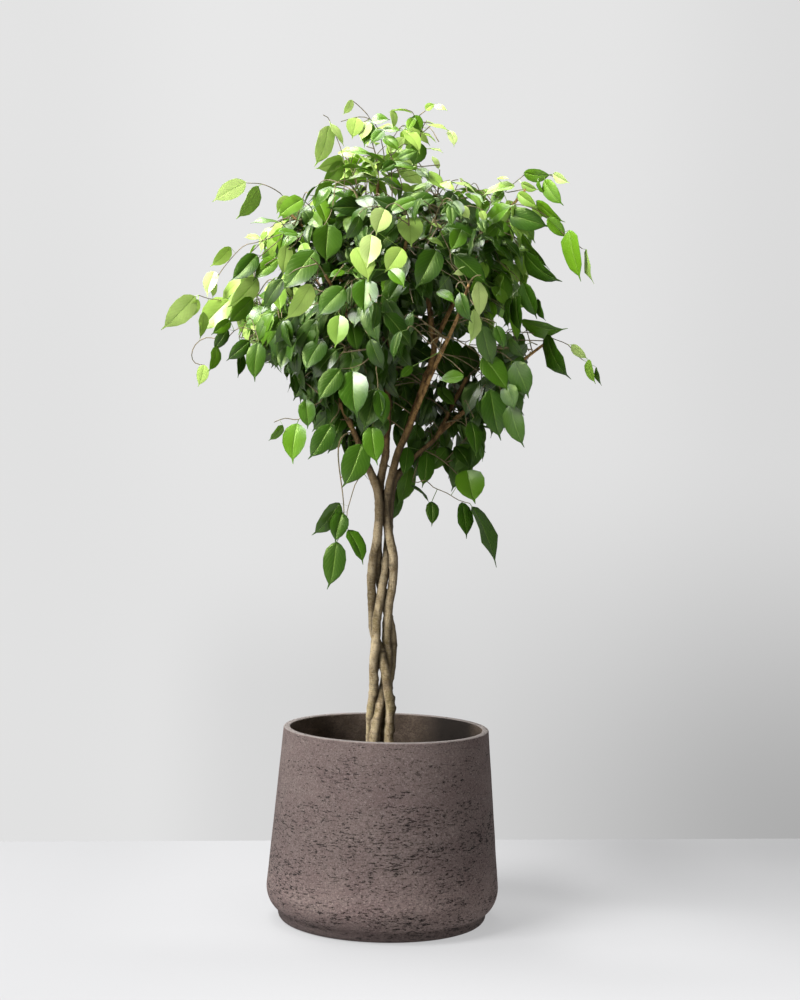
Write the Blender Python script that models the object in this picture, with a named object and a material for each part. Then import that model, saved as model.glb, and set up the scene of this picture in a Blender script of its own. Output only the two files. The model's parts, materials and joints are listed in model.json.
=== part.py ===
"""A potted weeping fig: four plaited stems, their branches and leafy shoots, in a tapered planter.

Metres, +Z up. The planter stands on z = 0 with its axis on the Z axis, and -Y is the front.
"""

import math
import random
from collections import namedtuple

import bmesh
import bpy
from mathutils import Matrix, Vector
from mathutils.bvhtree import BVHTree

TOUCH_GAP = 0.0003
UP = Vector((0, 0, 1))

# The planter is one fibre-cement shell on a small recessed foot.
PLANTER_HEIGHT = 0.285
RIM_RADIUS = 0.152
BELLY_RADIUS = 0.172
BELLY_HEIGHT = 0.050
BELLY_DROP = 0.036
BELLY_TUCK = 0.026
FOOT_RADIUS = 0.1545
FOOT_CREASE = 0.0165
FOOT_ROUNDING = 0.008
PLANTER_WALL = 0.010
PLANTER_FLOOR = 0.022
RIM_ROUNDING = 0.0025
PLANTER_SIDES = 48

# The grower's pot stands on the planter's floor, below the sight line over the rim.
NURSERY_HEIGHT = 0.185
NURSERY_TOP_RADIUS = 0.118
NURSERY_BASE_RADIUS = 0.092
NURSERY_WALL = 0.0018
NURSERY_LIP = 0.0035
NURSERY_LIP_DEPTH = 0.014
NURSERY_SIDES = 36
SOIL_BELOW_RIM = 0.013
SOIL_MOUND = 0.006
SOIL_ROUGHNESS = 0.0012
PIT_DEPTH = 0.014
PIT_CLEARANCE = 0.0005

NURSERY_BASE = PLANTER_FLOOR + TOUCH_GAP
NURSERY_RIM = NURSERY_BASE + NURSERY_HEIGHT
SOIL_TOP = NURSERY_RIM - SOIL_BELOW_RIM
STEM_FOOT = SOIL_TOP - PIT_DEPTH + SOIL_MOUND

# Stems: radius in the soil, at the top of the plait and at the leader's end.
STEM_SIDES = 7
STEM_RADIUS_LOW = 0.0070
STEM_RADIUS_PLAIT = 0.0062
STEM_RADIUS_END = 0.0024
LEADER_RADII = {"stem_1": 0.0036, "stem_2": 0.0054, "stem_3": 0.0052, "stem_4": 0.0040}
LEADER_NECK = 0.035
LEADER_LENGTH = 0.42
PLAIT_TOP = 0.655
PLAIT_STEP = 0.0105
PLAIT_CLEARANCE = 0.0016
PLAIT_PASSES = 170
PLAIT_SMOOTH_PASSES = 130
PLAIT_SIDE_SHARE = 0.12
PLAIT_HOLD = 0.85
LEADER_STEP = 0.024

BRANCH_SIDES = 6
BRANCH_RADIUS = 0.0036
BRANCH_END_RADIUS = 0.0019
BRANCH_STEP = 0.024

TWIG_SIDES = 3
TWIG_RADIUS = 0.0013
TWIG_END_RADIUS = 0.0008
LEAF_NODE_LENGTH = 0.003

# A leaf is a flat-topped blade with a keel, on a short stalk.
LEAF_WIDTH_SHARE = 0.47
LEAF_KEEL = 0.0011
STALK_SHARE = 0.20
STALK_WIDTH = 0.0014
LEAF_CLEARANCE = 0.0005
LEAF_TRIES = 14
ROUTE_TRIES = 24
ROUTE_JITTER = 0.010
BLADE_STATIONS = ((0.36, 1.0), (0.68, 0.70))

# Each stem's route, from the soil up through the plait and on as its leader in the crown.
STEM_ROUTES = {
    "stem_1": [
        (-0.029, 0.006, 0.180), (-0.026, 0.004, 0.220), (-0.023, 0.002, 0.264), (-0.023, 0.001, 0.309),
        (-0.020, -0.001, 0.340), (-0.021, -0.004, 0.370), (-0.020, -0.009, 0.400), (-0.018, -0.010, 0.427),
        (-0.018, -0.010, 0.444), (-0.015, -0.009, 0.467), (-0.012, -0.008, 0.489), (-0.008, -0.004, 0.511),
        (-0.006, 0.003, 0.533), (-0.005, 0.008, 0.547), (-0.004, 0.010, 0.570), (-0.003, 0.011, 0.614),
        (0.001, 0.012, 0.645), (0.010, 0.014, 0.664), (0.027, 0.016, 0.681), (0.046, 0.020, 0.699),
        (0.062, 0.024, 0.714), (0.076, 0.030, 0.740), (0.090, 0.036, 0.772), (0.108, 0.044, 0.806),
    ],
    "stem_2": [
        (-0.020, -0.020, 0.180), (-0.020, -0.015, 0.220), (-0.019, -0.011, 0.264), (-0.014, -0.010, 0.293),
        (-0.011, -0.007, 0.311), (-0.008, -0.001, 0.330), (-0.005, 0.004, 0.348), (-0.002, 0.007, 0.366),
        (0.000, 0.007, 0.384), (-0.001, 0.004, 0.398), (-0.003, -0.001, 0.411), (-0.003, -0.004, 0.424),
        (-0.002, -0.005, 0.440), (-0.001, -0.006, 0.467), (0.003, -0.006, 0.489), (0.005, -0.006, 0.519),
        (0.003, -0.007, 0.544), (-0.003, -0.008, 0.570), (-0.007, -0.004, 0.592), (-0.009, 0.000, 0.611),
        (-0.005, 0.000, 0.640), (0.001, 0.000, 0.667), (0.007, 0.000, 0.692), (0.018, 0.000, 0.718),
        (0.031, 0.000, 0.757), (0.043, 0.002, 0.794), (0.056, 0.008, 0.840), (0.052, 0.012, 0.880),
        (0.046, 0.014, 0.930), (0.050, 0.014, 1.000), (0.056, 0.012, 1.075),
    ],
    "stem_3": [
        (-0.001, 0.022, 0.180), (-0.002, 0.016, 0.220), (-0.004, 0.010, 0.264), (-0.004, 0.010, 0.311),
        (-0.002, 0.014, 0.334), (0.002, 0.017, 0.352), (0.005, 0.018, 0.372), (0.006, 0.016, 0.392),
        (0.006, 0.012, 0.412), (0.004, 0.010, 0.428), (0.000, 0.010, 0.444), (-0.004, 0.010, 0.459),
        (-0.008, 0.010, 0.474), (-0.012, 0.009, 0.488), (-0.016, 0.009, 0.503), (-0.018, 0.008, 0.518),
        (-0.019, 0.008, 0.537), (-0.020, 0.008, 0.570), (-0.019, 0.007, 0.592), (-0.019, 0.006, 0.622),
        (-0.018, 0.004, 0.648), (-0.014, 0.001, 0.672), (-0.011, 0.000, 0.694), (-0.010, 0.000, 0.733),
        (-0.010, 0.000, 0.769), (-0.014, 0.000, 0.814), (-0.021, 0.000, 0.870), (-0.030, -0.004, 0.940),
        (-0.034, -0.008, 1.010), (-0.032, -0.010, 1.085),
    ],
    "stem_4": [
        (0.010, -0.006, 0.180), (0.007, -0.004, 0.220), (0.004, -0.002, 0.264), (0.005, -0.004, 0.299),
        (0.005, -0.007, 0.316), (0.002, -0.010, 0.332), (0.000, -0.010, 0.349), (-0.004, -0.009, 0.369),
        (-0.009, -0.006, 0.386), (-0.014, 0.000, 0.401), (-0.019, 0.005, 0.416), (-0.023, 0.006, 0.432),
        (-0.025, 0.004, 0.464), (-0.027, -0.001, 0.491), (-0.028, -0.003, 0.502), (-0.027, -0.005, 0.520),
        (-0.024, -0.006, 0.547), (-0.021, -0.006, 0.562), (-0.018, -0.007, 0.599), (-0.021, -0.006, 0.633),
        (-0.029, -0.004, 0.654), (-0.037, -0.002, 0.672), (-0.052, -0.004, 0.706), (-0.074, -0.012, 0.752),
        (-0.100, -0.022, 0.805), (-0.128, -0.034, 0.862),
    ],
}

# Each branch: the stem it grows from, how high up, and the points it passes through.
Branch = namedtuple("Branch", "stem height route")
BRANCHES = {
    "branch_left_high": Branch("stem_3", 0.845, [(-0.060, 0.004, 0.905), (-0.110, 0.005, 0.985), (-0.165, 0.000, 1.045)]),
    "branch_left_mid": Branch("stem_4", 0.735, [(-0.105, 0.018, 0.790), (-0.165, 0.020, 0.848), (-0.225, 0.010, 0.893)]),
    "branch_right_high": Branch("stem_2", 0.865, [(0.096, 0.010, 0.942), (0.140, 0.002, 1.024), (0.185, -0.010, 1.083)]),
    "branch_right_mid": Branch("stem_1", 0.735, [(0.122, 0.024, 0.772), (0.175, 0.010, 0.822), (0.224, 0.000, 0.862)]),
    "branch_back": Branch("stem_3", 0.735, [(-0.012, 0.048, 0.800), (0.000, 0.098, 0.880), (0.010, 0.150, 0.950)]),
    "branch_back_left": Branch("stem_3", 0.790, [(-0.054, 0.050, 0.848), (-0.096, 0.112, 0.908), (-0.130, 0.170, 0.960)]),
    "branch_back_right": Branch("stem_2", 0.775, [(0.066, 0.056, 0.842), (0.104, 0.114, 0.912), (0.140, 0.170, 0.968)]),
    "branch_front_left": Branch("stem_3", 0.758, [(-0.036, -0.048, 0.820), (-0.072, -0.106, 0.892), (-0.100, -0.155, 0.938)]),
    "branch_front_right": Branch("stem_2", 0.745, [(0.052, -0.046, 0.805), (0.084, -0.106, 0.880), (0.100, -0.160, 0.930)]),
    "branch_front": Branch("stem_3", 0.830, [(-0.008, -0.044, 0.895), (0.006, -0.094, 0.962), (0.014, -0.140, 1.010)]),
}

# Each shoot: what it grows from, where along it (0 to 1), its tip, how steeply the tip hangs
# (-1 up to 1 down), its number of leaves, their length and how young they are (0 to 1).
Shoot = namedtuple("Shoot", "parent share tip hang leaves leaf_length youth")
SHOOTS = [
    Shoot("stem_3", 1.00, (-0.056, -0.020, 1.172), -0.8, 7, 0.044, 0.8),
    Shoot("stem_3", 0.95, (-0.112, -0.045, 1.150), 0.3, 7, 0.056, 0.9),
    Shoot("stem_3", 0.91, (0.006, -0.040, 1.180), -0.2, 6, 0.050, 0.6),
    Shoot("stem_2", 1.00, (0.046, -0.004, 1.176), -0.5, 7, 0.046, 0.9),
    Shoot("stem_2", 0.94, (0.100, -0.040, 1.092), 0.3, 6, 0.046, 0.6),
    Shoot("stem_3", 0.86, (-0.070, 0.100, 1.125), 0.4, 7, 0.056, 0.4),
    Shoot("stem_2", 0.88, (0.060, 0.110, 1.115), 0.4, 7, 0.056, 0.3),
    Shoot("branch_left_high", 1.00, (-0.236, -0.010, 1.080), 0.1, 7, 0.052, 0.9),
    Shoot("branch_left_high", 0.78, (-0.205, -0.060, 1.040), 0.6, 7, 0.056, 0.5),
    Shoot("branch_left_high", 0.60, (-0.160, 0.090, 1.060), 0.5, 7, 0.058, 0.2),
    Shoot("branch_left_mid", 1.00, (-0.300, -0.010, 0.912), 0.3, 8, 0.058, 0.5),
    Shoot("branch_left_mid", 0.82, (-0.268, -0.055, 0.965), 0.3, 7, 0.050, 0.9),
    Shoot("branch_left_mid", 0.62, (-0.236, 0.095, 0.925), 0.6, 8, 0.060, 0.1),
    Shoot("branch_left_mid", 0.72, (-0.268, -0.020, 0.845), 0.8, 6, 0.054, 0.5),
    Shoot("branch_left_mid", 0.40, (-0.190, -0.085, 0.850), 0.8, 7, 0.062, 0.1),
    Shoot("stem_4", 1.00, (-0.185, -0.120, 0.925), 0.5, 8, 0.064, 0.1),
    Shoot("stem_4", 0.90, (-0.150, -0.100, 0.775), 0.9, 7, 0.060, 0.2),
    Shoot("stem_4", 0.80, (-0.110, 0.105, 0.790), 0.9, 8, 0.062, 0.0),
    Shoot("branch_front_left", 1.00, (-0.130, -0.235, 0.945), 0.7, 7, 0.066, 0.0),
    Shoot("branch_front_left", 0.72, (-0.035, -0.215, 0.900), 0.9, 7, 0.066, 0.0),
    Shoot("branch_front_left", 0.50, (-0.085, -0.165, 0.800), 1.0, 7, 0.068, 0.0),
    Shoot("branch_front", 1.00, (-0.010, -0.225, 1.015), 0.7, 8, 0.060, 0.5),
    Shoot("branch_front", 0.62, (0.075, -0.150, 1.045), 0.6, 8, 0.056, 0.6),
    Shoot("branch_front", 0.50, (-0.090, -0.120, 1.070), 0.5, 8, 0.058, 0.3),
    Shoot("branch_front_right", 1.00, (0.130, -0.230, 0.920), 0.8, 8, 0.062, 0.1),
    Shoot("branch_front_right", 0.60, (0.045, -0.185, 0.830), 1.0, 7, 0.062, 0.0),
    Shoot("branch_right_high", 1.00, (0.226, -0.010, 1.108), 0.1, 7, 0.048, 0.3),
    Shoot("branch_right_high", 0.80, (0.262, -0.030, 1.010), 0.9, 7, 0.062, 0.4),
    Shoot("branch_right_high", 0.62, (0.222, 0.040, 0.985), 0.9, 8, 0.052, 0.0),
    Shoot("branch_right_high", 0.42, (0.145, -0.110, 1.055), 0.5, 8, 0.058, 0.3),
    Shoot("branch_right_high", 0.50, (0.150, 0.115, 1.050), 0.6, 8, 0.058, 0.2),
    Shoot("branch_right_mid", 1.00, (0.285, -0.010, 0.855), 0.7, 7, 0.052, 0.0),
    Shoot("branch_right_mid", 0.72, (0.218, -0.095, 0.845), 0.9, 8, 0.058, 0.0),
    Shoot("branch_right_mid", 0.60, (0.226, 0.095, 0.850), 0.8, 8, 0.058, 0.0),
    Shoot("stem_1", 1.00, (0.180, -0.030, 0.775), 1.0, 6, 0.060, 0.0),
    Shoot("stem_1", 0.88, (0.118, -0.060, 0.700), 1.0, 6, 0.058, 0.0),
    Shoot("stem_1", 0.92, (0.095, 0.140, 0.790), 0.9, 8, 0.060, 0.0),
    Shoot("branch_back", 1.00, (0.020, 0.235, 0.955), 0.8, 8, 0.062, 0.1),
    Shoot("branch_back", 0.60, (-0.025, 0.195, 0.840), 1.0, 8, 0.062, 0.0),
    Shoot("branch_back_left", 1.00, (-0.170, 0.225, 0.945), 0.8, 8, 0.062, 0.2),
    Shoot("branch_back_right", 1.00, (0.185, 0.220, 0.955), 0.8, 8, 0.062, 0.2),
    Shoot("stem_4", 0.78, (-0.074, -0.012, 0.575), 1.0, 5, 0.066, 0.0),
    Shoot("stem_1", 0.80, (0.136, 0.004, 0.592), 1.0, 6, 0.056, 0.0),
]


def clear_scene():
    for item in list(bpy.data.objects):
        bpy.data.objects.remove(item, do_unlink=True)


def finish(name, colour, roughness):
    """A plain Principled material in this colour."""
    material = bpy.data.materials.new(name)
    material.use_nodes = True
    shader = material.node_tree.nodes["Principled BSDF"]
    shader.inputs["Base Color"].default_value = (*colour, 1)
    shader.inputs["Roughness"].default_value = roughness
    shader.inputs["Metallic"].default_value = 0
    return material


def add_object(name, bm, material, parent, smooth=True):
    """The mesh as a named object under the parent, shaded smooth where it is round."""
    bmesh.ops.recalc_face_normals(bm, faces=bm.faces)
    mesh = bpy.data.meshes.new(name)
    bm.to_mesh(mesh)
    bm.free()
    if smooth:
        mesh.shade_smooth()
        mesh.set_sharp_from_angle(angle=math.radians(35))
    obj = bpy.data.objects.new(name, mesh)
    obj.data.materials.append(material)
    obj.parent = parent
    bpy.context.scene.collection.objects.link(obj)
    return obj


def turned(name, profile, sides, material, parent):
    """A closed solid of revolution from a profile that starts and ends on the axis."""
    bm = bmesh.new()
    points = [bm.verts.new((radius, 0, height)) for radius, height in profile]
    edges = [bm.edges.new(pair) for pair in zip(points, points[1:])]
    bmesh.ops.spin(
        bm, geom=points + edges, cent=(0, 0, 0), axis=(0, 0, 1), angle=math.tau, steps=sides, use_merge=True
    )
    bmesh.ops.remove_doubles(bm, verts=bm.verts, dist=1e-5)
    return add_object(name, bm, material, parent)


def arc(centre, radius, start, end, steps):
    """Points of (radius, height) along an arc, with the angles in degrees."""
    angles = [math.radians(start + (end - start) * i / steps) for i in range(steps + 1)]
    return [(centre[0] + radius * math.cos(a), centre[1] + radius * math.sin(a)) for a in angles]


def make_planter(parent):
    """The tapered shell: a recessed foot, a rounded belly, near-straight sides and a flat rim."""
    taper = (BELLY_RADIUS - RIM_RADIUS) / (PLANTER_HEIGHT - BELLY_HEIGHT)
    inner_rim = RIM_RADIUS - PLANTER_WALL
    rim_arc_height = PLANTER_HEIGHT - RIM_ROUNDING
    inner_low = PLANTER_FLOOR + 0.022
    inner_low_radius = inner_rim + taper * (PLANTER_HEIGHT - inner_low)
    profile = [(0, 0)]
    profile += arc((FOOT_RADIUS - FOOT_ROUNDING, FOOT_ROUNDING), FOOT_ROUNDING, -90, 0, 3)
    profile.append((FOOT_RADIUS, FOOT_CREASE))
    profile += [
        (BELLY_RADIUS - BELLY_TUCK * (1 - math.sin(a)), BELLY_HEIGHT - BELLY_DROP * math.cos(a))
        for a in (math.radians(d) for d in (28, 43, 58, 74, 90))
    ]
    profile += arc((RIM_RADIUS - RIM_ROUNDING, rim_arc_height), RIM_ROUNDING, 5, 90, 3)
    profile += arc((inner_rim + RIM_ROUNDING, rim_arc_height), RIM_ROUNDING, 90, 175, 3)
    profile += [
        (inner_low_radius, inner_low),
        (inner_low_radius - 0.006, PLANTER_FLOOR + 0.007),
        (inner_low_radius - 0.022, PLANTER_FLOOR),
        (0, PLANTER_FLOOR),
    ]
    return turned("planter", profile, PLANTER_SIDES, finish("fibre_cement", (0.155, 0.118, 0.112), 0.85), parent)


def nursery_radius(height):
    """The grower's pot's outer radius at this height."""
    share = (height - NURSERY_BASE) / NURSERY_HEIGHT
    return NURSERY_BASE_RADIUS + (NURSERY_TOP_RADIUS - NURSERY_BASE_RADIUS) * share


def make_nursery_pot(parent):
    """The thin black pot that the fig was grown in, with a thick lip."""
    lip_height = NURSERY_RIM - NURSERY_LIP_DEPTH
    floor_top = NURSERY_BASE + NURSERY_WALL
    profile = [
        (0, NURSERY_BASE),
        (NURSERY_BASE_RADIUS, NURSERY_BASE),
        (nursery_radius(lip_height), lip_height),
        (nursery_radius(lip_height) + NURSERY_LIP, lip_height + 0.001),
        (nursery_radius(NURSERY_RIM) + NURSERY_LIP, NURSERY_RIM - 0.001),
        (nursery_radius(NURSERY_RIM) + NURSERY_LIP - 0.001, NURSERY_RIM),
        (nursery_radius(NURSERY_RIM) - NURSERY_WALL, NURSERY_RIM),
        (nursery_radius(floor_top) - NURSERY_WALL, floor_top),
        (0, floor_top),
    ]
    black = finish("black_plastic", (0.018, 0.018, 0.019), 0.45)
    return turned("nursery_pot", profile, NURSERY_SIDES, black, parent)


def make_soil(parent, stem_routes):
    """The root ball: it fills the grower's pot, mounds slightly and has a pit for each stem."""
    base = NURSERY_BASE + NURSERY_WALL + TOUCH_GAP
    clearance = NURSERY_WALL + 2 * TOUCH_GAP
    chance = random.Random(5)
    edge_radius = nursery_radius(SOIL_TOP) - clearance
    profile = [(0, base), (nursery_radius(base) - clearance, base), (edge_radius, SOIL_TOP)]
    for share in (0.82, 0.62, 0.42, 0.22):
        lift = SOIL_MOUND * (1 - share) + chance.uniform(-1, 1) * SOIL_ROUGHNESS
        profile.append((edge_radius * share, SOIL_TOP + lift))
    profile.append((0, SOIL_TOP + SOIL_MOUND))
    soil = turned("potting_soil", profile, 24, finish("peat", (0.035, 0.024, 0.017), 0.95), parent)
    for name, route in stem_routes.items():
        pit = bmesh.new()
        bmesh.ops.create_cone(
            pit,
            cap_ends=True,
            segments=16,
            radius1=STEM_RADIUS_LOW + PIT_CLEARANCE,
            radius2=STEM_RADIUS_LOW + PIT_CLEARANCE,
            depth=4 * PIT_DEPTH,
            matrix=Matrix.Translation((route[0].x, route[0].y, STEM_FOOT - TOUCH_GAP + 2 * PIT_DEPTH)),
        )
        cutter = add_object(f"{name}_pit_cutter", pit, soil.data.materials[0], parent)
        cutter.hide_render = True
        cutter.display_type = "WIRE"
        cut = soil.modifiers.new(f"{name} pit", "BOOLEAN")
        cut.operation = "DIFFERENCE"
        cut.solver = "EXACT"
        cut.object = cutter
    return soil


def smooth_route(points, step):
    """Points about a step apart on a smooth curve through these ones."""
    knots = [Vector(p) for p in points]
    knots = [2 * knots[0] - knots[1], *knots, 2 * knots[-1] - knots[-2]]
    route = [knots[1]]
    for a, b, c, d in zip(knots, knots[1:], knots[2:], knots[3:]):
        count = max(1, round((c - b).length / step))
        for i in range(1, count + 1):
            t = i / count
            route.append(
                0.5 * (2 * b + (c - a) * t + (2 * a - 5 * b + 4 * c - d) * t**2 + (3 * b - a - 3 * c + d) * t**3)
            )
    return route


def at_height(route, height):
    """The point where a rising route crosses this height."""
    for low, high in zip(route, route[1:]):
        if low.z <= height <= high.z:
            return low.lerp(high, (height - low.z) / (high.z - low.z))
    return route[-1].copy()


def stem_radius(name, height):
    """Nearly even through the plait, then thinner where the stem becomes a leader in the crown."""
    if height < PLAIT_TOP:
        share = (height - STEM_FOOT) / (PLAIT_TOP - STEM_FOOT)
        return STEM_RADIUS_LOW + (STEM_RADIUS_PLAIT - STEM_RADIUS_LOW) * share
    neck = min(1, (height - PLAIT_TOP) / LEADER_NECK)
    radius = STEM_RADIUS_PLAIT + (LEADER_RADII[name] - STEM_RADIUS_PLAIT) * neck
    share = min(1, (height - PLAIT_TOP) / LEADER_LENGTH)
    return radius + (STEM_RADIUS_END - radius) * share**1.5


def plaited(routes):
    """The four routes at shared heights, pushed apart until no stem presses into another.

    The push is mostly front to back, and each stem is held near the sideways place its route
    gives, so that the plait crosses where the routes cross and stays as slim from the front.
    """
    fine = {name: smooth_route(points, 0.004) for name, points in routes.items()}
    count = round((PLAIT_TOP - STEM_FOOT) / PLAIT_STEP)
    heights = [STEM_FOOT + (PLAIT_TOP - STEM_FOOT) * i / count for i in range(count + 1)]
    levels = [[at_height(fine[name], z) for name in routes] for z in heights]
    for level in range(2):
        levels[level] = [p.copy() for p in levels[2]]
        for p in levels[level]:
            p.z = heights[level]
    drawn = [[p.x for p in points] for points in levels]
    for settling in range(PLAIT_PASSES):
        for height, points in zip(heights, levels):
            touching = 2 * stem_radius("stem_2", height) + PLAIT_CLEARANCE
            for i, a in enumerate(points):
                for b in points[i + 1:]:
                    apart = (b - a).to_2d()
                    short = touching - apart.length
                    if short > 0:
                        apart.x *= PLAIT_SIDE_SHARE
                        push = apart.normalized() * short / 2
                        a.xy -= push
                        b.xy += push
        if settling >= PLAIT_SMOOTH_PASSES:
            continue
        for low, middle, high in zip(levels[1:], levels[2:], levels[3:]):
            for a, b, c in zip(low, middle, high):
                b.xy = 0.8 * b.xy + 0.1 * (a.xy + c.xy)
        for points, places in zip(levels, drawn):
            for point, x in zip(points, places):
                point.x += PLAIT_HOLD * (x - point.x)
    plait = {}
    for i, name in enumerate(routes):
        leader = [p for p in smooth_route(routes[name], LEADER_STEP) if p.z > PLAIT_TOP + 0.008]
        plait[name] = [points[i] for points in levels] + leader
    return plait


def ring(centre, along, across, radius, sides):
    """The corners of a section of a tube."""
    side = along.cross(across).normalized()
    turns = [math.tau * i / sides for i in range(sides)]
    return [centre + radius * (math.cos(t) * across + math.sin(t) * side) for t in turns]


def tube(route, radii, sides, first_along=None):
    """A closed tube along a route, made by extruding its end face from ring to ring."""
    bm = bmesh.new()
    bmesh.ops.create_circle(bm, cap_ends=True, segments=sides, radius=1)
    face = bm.faces[:][0]
    across = Vector((1, 0, 0))
    ends = [route[0], *route, route[-1]]
    start = list(face.verts)
    for i, (centre, radius) in enumerate(zip(route, radii)):
        along = (ends[i + 2] - ends[i]).normalized()
        if i == 0 and first_along is not None:
            along = first_along
        across = (across - along * across.dot(along)).normalized()
        if i:
            face = bmesh.ops.extrude_discrete_faces(bm, faces=[face])["faces"][0]
        for vert, place in zip(face.verts, ring(centre, along, across, radius, sides)):
            vert.co = place
    bmesh.ops.contextual_create(bm, geom=start)
    bmesh.ops.recalc_face_normals(bm, faces=bm.faces)
    return bm


def tree_of(bm):
    return BVHTree.FromBMesh(bm)


def grow_from(parent, share, towards, radius):
    """The start and first direction of a piece that grows from the parent's bark, or from its end."""
    route, tree = parent
    if share >= 1:
        along = (route[-1] - route[-2]).normalized()
        return route[-1] + along * TOUCH_GAP, along
    place = share * (len(route) - 1)
    index = min(int(place), len(route) - 2)
    inside = route[index].lerp(route[index + 1], place - index)
    along = (route[index + 1] - route[index]).normalized()
    aim = (towards - inside).normalized()
    outward = (aim - along * aim.dot(along)).normalized()
    direction = (outward + 0.55 * along).normalized()
    hit, normal, _, _ = tree.ray_cast(inside, direction)
    facing = direction.dot(normal)
    lean = math.sqrt(max(0, 1 - facing**2))
    return hit + direction * (TOUCH_GAP + radius * lean) / max(facing, 0.2), direction


def share_at_height(route, height):
    """How far along its route a stem reaches this height."""
    for i, (low, high) in enumerate(zip(route, route[1:])):
        if low.z <= height <= high.z:
            return (i + (height - low.z) / (high.z - low.z)) / (len(route) - 1)
    return 1


def tapered(count, start, end):
    return [start + (end - start) * i / (count - 1) for i in range(count)]


def make_branch(name, branch, wood, bark, parent):
    """A branch from a stem's bark through its route."""
    share = share_at_height(wood[branch.stem][0], branch.height)
    start, direction = grow_from(wood[branch.stem], share, Vector(branch.route[0]), BRANCH_RADIUS)
    route = smooth_route([start, start + direction * 0.016, *branch.route], BRANCH_STEP)
    bm = tube(route, tapered(len(route), BRANCH_RADIUS, BRANCH_END_RADIUS), BRANCH_SIDES, direction)
    wood[name] = (route, tree_of(bm))
    add_object(name, bm, bark, parent)


def shoot_route(start, direction, tip, hang):
    """A curve that leaves the bark, reaches out and then rises or hangs at its tip."""
    span = (tip - start).length
    outward = Vector((tip.x - start.x, tip.y - start.y, 0)).normalized()
    end_along = (outward * (1 - 0.6 * abs(hang)) - UP * hang).normalized()
    controls = [start, start + direction * 0.36 * span, tip - end_along * 0.34 * span, tip]
    route = []
    for i in range(41):
        t = i / 40
        a, b, c, d = controls
        route.append((1 - t)**3 * a + 3 * t * (1 - t)**2 * b + 3 * t**2 * (1 - t) * c + t**3 * d)
    return route


def leaf_sections(shoot, base, along, out, chance, spare):
    """A leaf's triangular sections from its stalk to near its tip, then the tip itself."""
    length = shoot.leaf_length * chance.uniform(0.82, 1.12)
    width = length * LEAF_WIDTH_SHARE * chance.uniform(0.9, 1.1)
    hanging = chance.uniform(0.35, 1.3) * (0.45 + 0.55 * max(0, shoot.hang))
    axis = (out * chance.uniform(0.6, 1.0) + along * chance.uniform(0.4, 1.0) - UP * hanging).normalized()
    stalk_end = base + (out + 0.5 * along).normalized() * length * STALK_SHARE
    outward = Vector((base.x, base.y, 0.12)) + Vector([chance.uniform(-0.12, 0.12) for _ in range(3)])
    top = (outward - axis * outward.dot(axis)).normalized()
    sections = []
    bend = chance.uniform(0.10, 0.35)
    for share, swell in ((0, 0), *BLADE_STATIONS, (1, 0)):
        centre = stalk_end + axis * length * share - top * length * bend * share**2
        half = max(width * swell / 2, STALK_WIDTH / 2) + spare
        side = top.cross(axis)
        sections.append([centre + side * half + top * spare, centre - side * half + top * spare,
                         centre - top * (LEAF_KEEL + spare)])
    sections[-1] = stalk_end + axis * length - top * length * bend
    return sections


def sections_tree(sections, base):
    """A tree of the leaf's faces, for finding what it would touch."""
    corners = [base + (p - base) * 0.35 for p in sections[0]]
    points = corners + [p for section in sections[:-1] for p in section] + [sections[-1]]
    faces = []
    for k in range(len(sections) - 1):
        for i in range(3):
            j = (i + 1) % 3
            faces.append((3 * k + i, 3 * k + j, 3 * k + 3 + j, 3 * k + 3 + i))
    last = 3 * (len(sections) - 1)
    faces += [(last + i, last + (i + 1) % 3, len(points) - 1) for i in range(3)]
    return BVHTree.FromPolygons(points, faces), points


def touches(tree, points, others):
    low = [min(p[i] for p in points) for i in range(3)]
    high = [max(p[i] for p in points) for i in range(3)]
    for other_low, other_high, other in others:
        if all(low[i] <= other_high[i] and high[i] >= other_low[i] for i in range(3)):
            if tree.overlap(other):
                return True
    return False


def boxed(tree, points):
    low = [min(p[i] for p in points) for i in range(3)]
    high = [max(p[i] for p in points) for i in range(3)]
    return low, high, tree


def extrude_leaf(bm, face, sections):
    """The leaf, extruded out of one triangle of the twig's side."""
    for section in sections[:-1]:
        face = bmesh.ops.extrude_discrete_faces(bm, faces=[face])["faces"][0]
        verts = list(face.verts)
        turns = [section[i:] + section[:i] for i in range(3)]
        nearest = min(turns, key=lambda turn: sum((v.co - p).length for v, p in zip(verts, turn)))
        for vert, place in zip(verts, nearest):
            vert.co = place
    poked = bmesh.ops.poke(bm, faces=[face])
    poked["verts"][0].co = sections[-1]


def plan_twig(number, shoot, wood, placed):
    """The shoot's route, moved slightly until its twig is clear of all the other wood."""
    chance = random.Random(100 + number)
    for attempt in range(ROUTE_TRIES):
        jitter = Vector([chance.uniform(-1, 1) for _ in range(3)]) * ROUTE_JITTER * min(attempt, 1)
        tip = Vector(shoot.tip) + jitter
        share = shoot.share if shoot.share >= 1 else shoot.share + chance.uniform(-0.03, 0.03) * min(attempt, 1)
        start, direction = grow_from(wood[shoot.parent], share, tip, TWIG_RADIUS)
        route = shoot_route(start, direction, tip, shoot.hang)
        stops = twig_stops(route, shoot.leaves)
        bm = tube(stops, tapered(len(stops), TWIG_RADIUS, TWIG_END_RADIUS), TWIG_SIDES, direction)
        tree = tree_of(bm)
        points = [v.co.copy() for v in bm.verts]
        if not touches(tree, points, placed):
            break
        if attempt < ROUTE_TRIES - 1:
            bm.free()
    else:
        print(f"shoot {number} still touches other wood")
    placed.append(boxed(tree, points))
    return bm, stops, tree


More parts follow.
